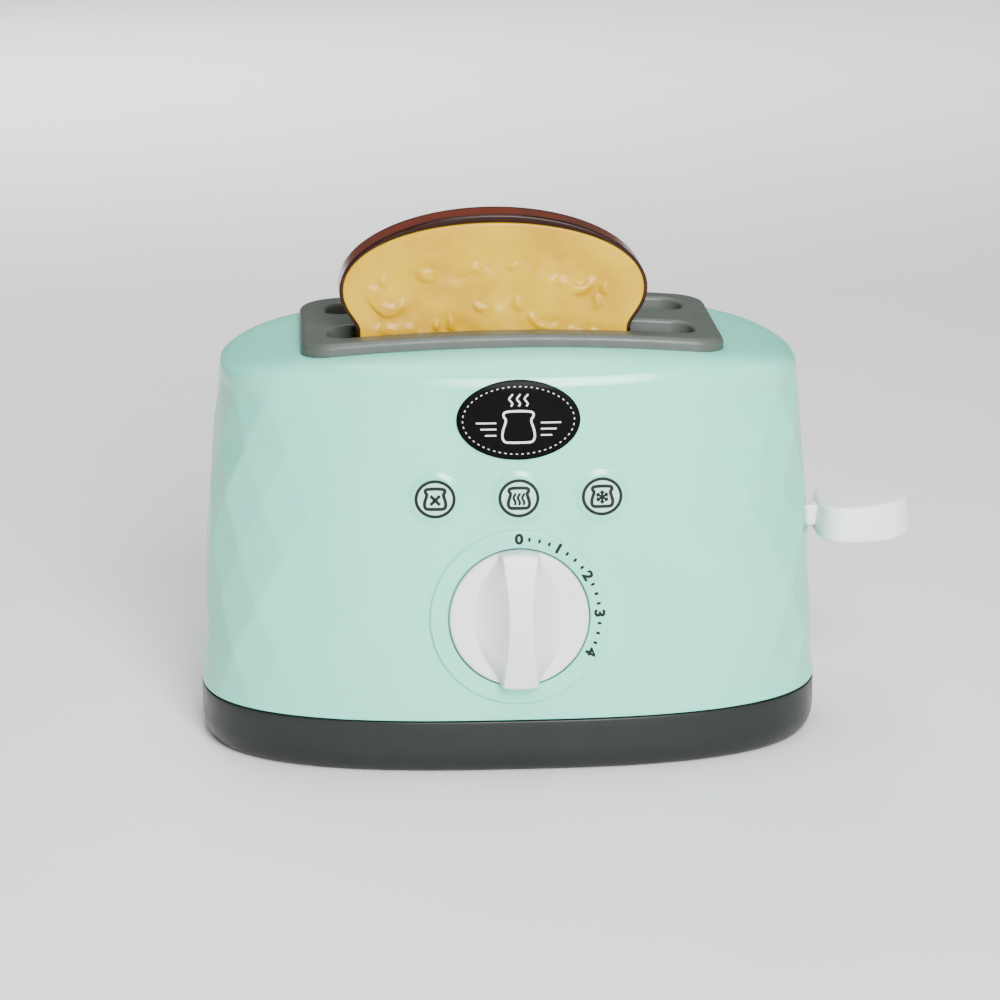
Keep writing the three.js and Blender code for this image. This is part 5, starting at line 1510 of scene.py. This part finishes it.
def build_stage(settings):
    reach, steps = 6.0, 12
    ticks = [-reach + 2 * reach * i / steps for i in range(steps + 1)]
    vertices = [(x, y, 0) for y in ticks for x in ticks]
    row = steps + 1
    faces = [
        (j * row + i, j * row + i + 1, (j + 1) * row + i + 1, (j + 1) * row + i)
        for j in range(steps)
        for i in range(steps)
    ]
    mesh = bpy.data.meshes.new("studio_floor")
    mesh.from_pydata(vertices, [], faces)
    mesh.shade_smooth()
    floor = bpy.data.objects.new("studio_floor", mesh)
    bpy.context.scene.collection.objects.link(floor)
    material, tree, shader, at = surface("matt_studio_paper", {"IOR": 1.45, "Roughness": 0.85})
    base = tuple(settings.floor_colour)
    mottle(tree, shader, at, tint(base, 0.985), base, 60 * MM)
    mesh.materials.append(material)

    world = bpy.data.worlds.new("studio")
    bpy.context.scene.world = world
    world.use_nodes = True
    background = world.node_tree.nodes["Background"]
    background.inputs["Color"].default_value = linear("#f4f6f6")
    background.inputs["Strength"].default_value = settings.world

    target = Vector((MIDDLE.x + settings.target_x, MIDDLE.y, settings.target_z))
    add_light("key_light", (0.22, -1.29, 0.72), target, (0.5, 0.9), settings.key)
    add_light("top_light", (target.x, 0, 1.25), target, (0.45, 1.6), settings.top)
    rear = add_light("rear_light", (-0.5, 1.25, 0.75), target, (1.0, 0.9), settings.rear)
    rear.visible_glossy = False
    add_light("back_light", (0, 1.2, 1.1), Vector((0, 3.2, 0)), (2.4, 1.0), settings.back)

    camera_data = bpy.data.cameras.new("view")
    camera = bpy.data.objects.new("view", camera_data)
    bpy.context.scene.collection.objects.link(camera)
    level = math.cos(settings.elevation)
    away = Vector(
        (math.sin(settings.azimuth) * level, -math.cos(settings.azimuth) * level, math.sin(settings.elevation))
    )
    camera.location = target + away * settings.distance
    camera.rotation_euler = (-away).to_track_quat("-Z", "Y").to_euler()
    camera_data.sensor_fit = "HORIZONTAL"
    camera_data.lens = camera_data.sensor_width * settings.scale * settings.distance / 1000
    camera_data.clip_start, camera_data.clip_end = 0.05, 20
    bpy.context.scene.camera = camera


def add_light(name, place, target, size, power):
    data = bpy.data.lights.new(name, "AREA")
    data.shape = "RECTANGLE"
    data.size, data.size_y = size
    data.energy = power
    light = bpy.data.objects.new(name, data)
    light.location = place
    light.rotation_euler = (target - Vector(place)).to_track_quat("-Z", "Y").to_euler()
    bpy.context.scene.collection.objects.link(light)
    return light


# Operators, one for each piece or group of like pieces


class TOASTER_OT_housing(bpy.types.Operator):
    """Mould the mint housing with its facets, dial disc, pads and lever slot"""

    bl_idname = "toaster.housing"
    bl_label = "Housing"

    def execute(self, context):
        build_housing(context.scene.toaster_housing)
        return {"FINISHED"}


class TOASTER_OT_base(bpy.types.Operator):
    """Mould the dark base tray and its screw recesses"""

    bl_idname = "toaster.base"
    bl_label = "Base"

    def execute(self, context):
        build_base(context.scene.toaster_base, context.scene.toaster_housing)
        return {"FINISHED"}


class TOASTER_OT_trim(bpy.types.Operator):
    """Mould the arched trim round the two bread slots"""

    bl_idname = "toaster.trim"
    bl_label = "Slot trim"

    def execute(self, context):
        scene = context.scene
        grey = grey_plastic(scene.toaster_trim, "grey_polypropylene")
        build_trim(scene.toaster_trim, scene.toaster_housing, grey)
        return {"FINISHED"}


class TOASTER_OT_slice(bpy.types.Operator):
    """Mould the bread slice: its crust and its two dented faces"""

    bl_idname = "toaster.slice"
    bl_label = "Bread slice"

    def execute(self, context):
        settings = context.scene.toaster_slice
        build_crust(settings)
        build_crumb(settings, -1, "toast_face_front")
        build_crumb(settings, 1, "toast_face_rear")
        return {"FINISHED"}


class TOASTER_OT_paddle(bpy.types.Operator):
    """Mould the white lever paddle"""

    bl_idname = "toaster.paddle"
    bl_label = "Lever paddle"

    def execute(self, context):
        build_paddle(context.scene.toaster_paddle)
        return {"FINISHED"}


class TOASTER_OT_knob(bpy.types.Operator):
    """Mould the white timer knob with its grip bar"""

    bl_idname = "toaster.knob"
    bl_label = "Timer knob"

    def execute(self, context):
        build_knob(context.scene.toaster_knob, context.scene.toaster_housing)
        return {"FINISHED"}


class TOASTER_OT_print(bpy.types.Operator):
    """Print the dial's numbers and marks, the badge and the three icons"""

    bl_idname = "toaster.print"
    bl_label = "Printed marks"

    def execute(self, context):
        settings, housing = context.scene.toaster_print, context.scene.toaster_housing
        build_dial_print(settings, housing)
        build_badge(settings, housing)
        for index in range(len(ICON_BOX)):
            build_icon(settings, housing, index)
        return {"FINISHED"}


class TOASTER_OT_inside(bpy.types.Operator):
    """Finish the wells, the carriage, the clockwork, the springs and the screws"""

    bl_idname = "toaster.inside"
    bl_label = "Inner pieces"

    def execute(self, context):
        # Painted shade: the wells take the base's dark grey, which stands in for the shade down the slots
        finish_inner_pieces(grey_plastic(context.scene.toaster_base, "well_painted_shade_grey"))
        return {"FINISHED"}


class TOASTER_OT_stage(bpy.types.Operator):
    """Set the floor, the lights and the camera"""

    bl_idname = "toaster.stage"
    bl_label = "Stage"

    def execute(self, context):
        build_stage(context.scene.toaster_stage)
        return {"FINISHED"}


class TOASTER_PT_panel(bpy.types.Panel):
    """The toaster's pieces in the order they are made"""

    bl_idname = "TOASTER_PT_panel"
    bl_label = "Toaster"
    bl_space_type = "VIEW_3D"
    bl_region_type = "UI"
    bl_category = "Toaster"

    def draw(self, context):
        for operator in OPERATORS:
            self.layout.operator(operator.bl_idname)


SETTINGS = {
    "toaster_housing": HousingSettings,
    "toaster_base": BaseSettings,
    "toaster_trim": TrimSettings,
    "toaster_slice": SliceSettings,
    "toaster_paddle": PaddleSettings,
    "toaster_knob": KnobSettings,
    "toaster_print": PrintSettings,
    "toaster_stage": StageSettings,
}
OPERATORS = (
    TOASTER_OT_housing,
    TOASTER_OT_base,
    TOASTER_OT_trim,
    TOASTER_OT_slice,
    TOASTER_OT_paddle,
    TOASTER_OT_knob,
    TOASTER_OT_print,
    TOASTER_OT_inside,
    TOASTER_OT_stage,
)


def register():
    for name, settings in SETTINGS.items():
        bpy.utils.register_class(settings)
        setattr(bpy.types.Scene, name, bpy.props.PointerProperty(type=settings))
    for operator in OPERATORS:
        bpy.utils.register_class(operator)
    bpy.utils.register_class(TOASTER_PT_panel)


def unregister():
    bpy.utils.unregister_class(TOASTER_PT_panel)
    for operator in reversed(OPERATORS):
        bpy.utils.unregister_class(operator)
    for name, settings in SETTINGS.items():
        delattr(bpy.types.Scene, name)
        bpy.utils.unregister_class(settings)


def main():
    register()
    bpy.ops.toaster.housing()
    bpy.ops.toaster.base()
    bpy.ops.toaster.trim()
    bpy.ops.toaster.slice()
    bpy.ops.toaster.paddle()
    bpy.ops.toaster.knob()
    bpy.ops.toaster.print()
    bpy.ops.toaster.inside()
    bpy.ops.toaster.stage()


if __name__ == "__main__":
    main()
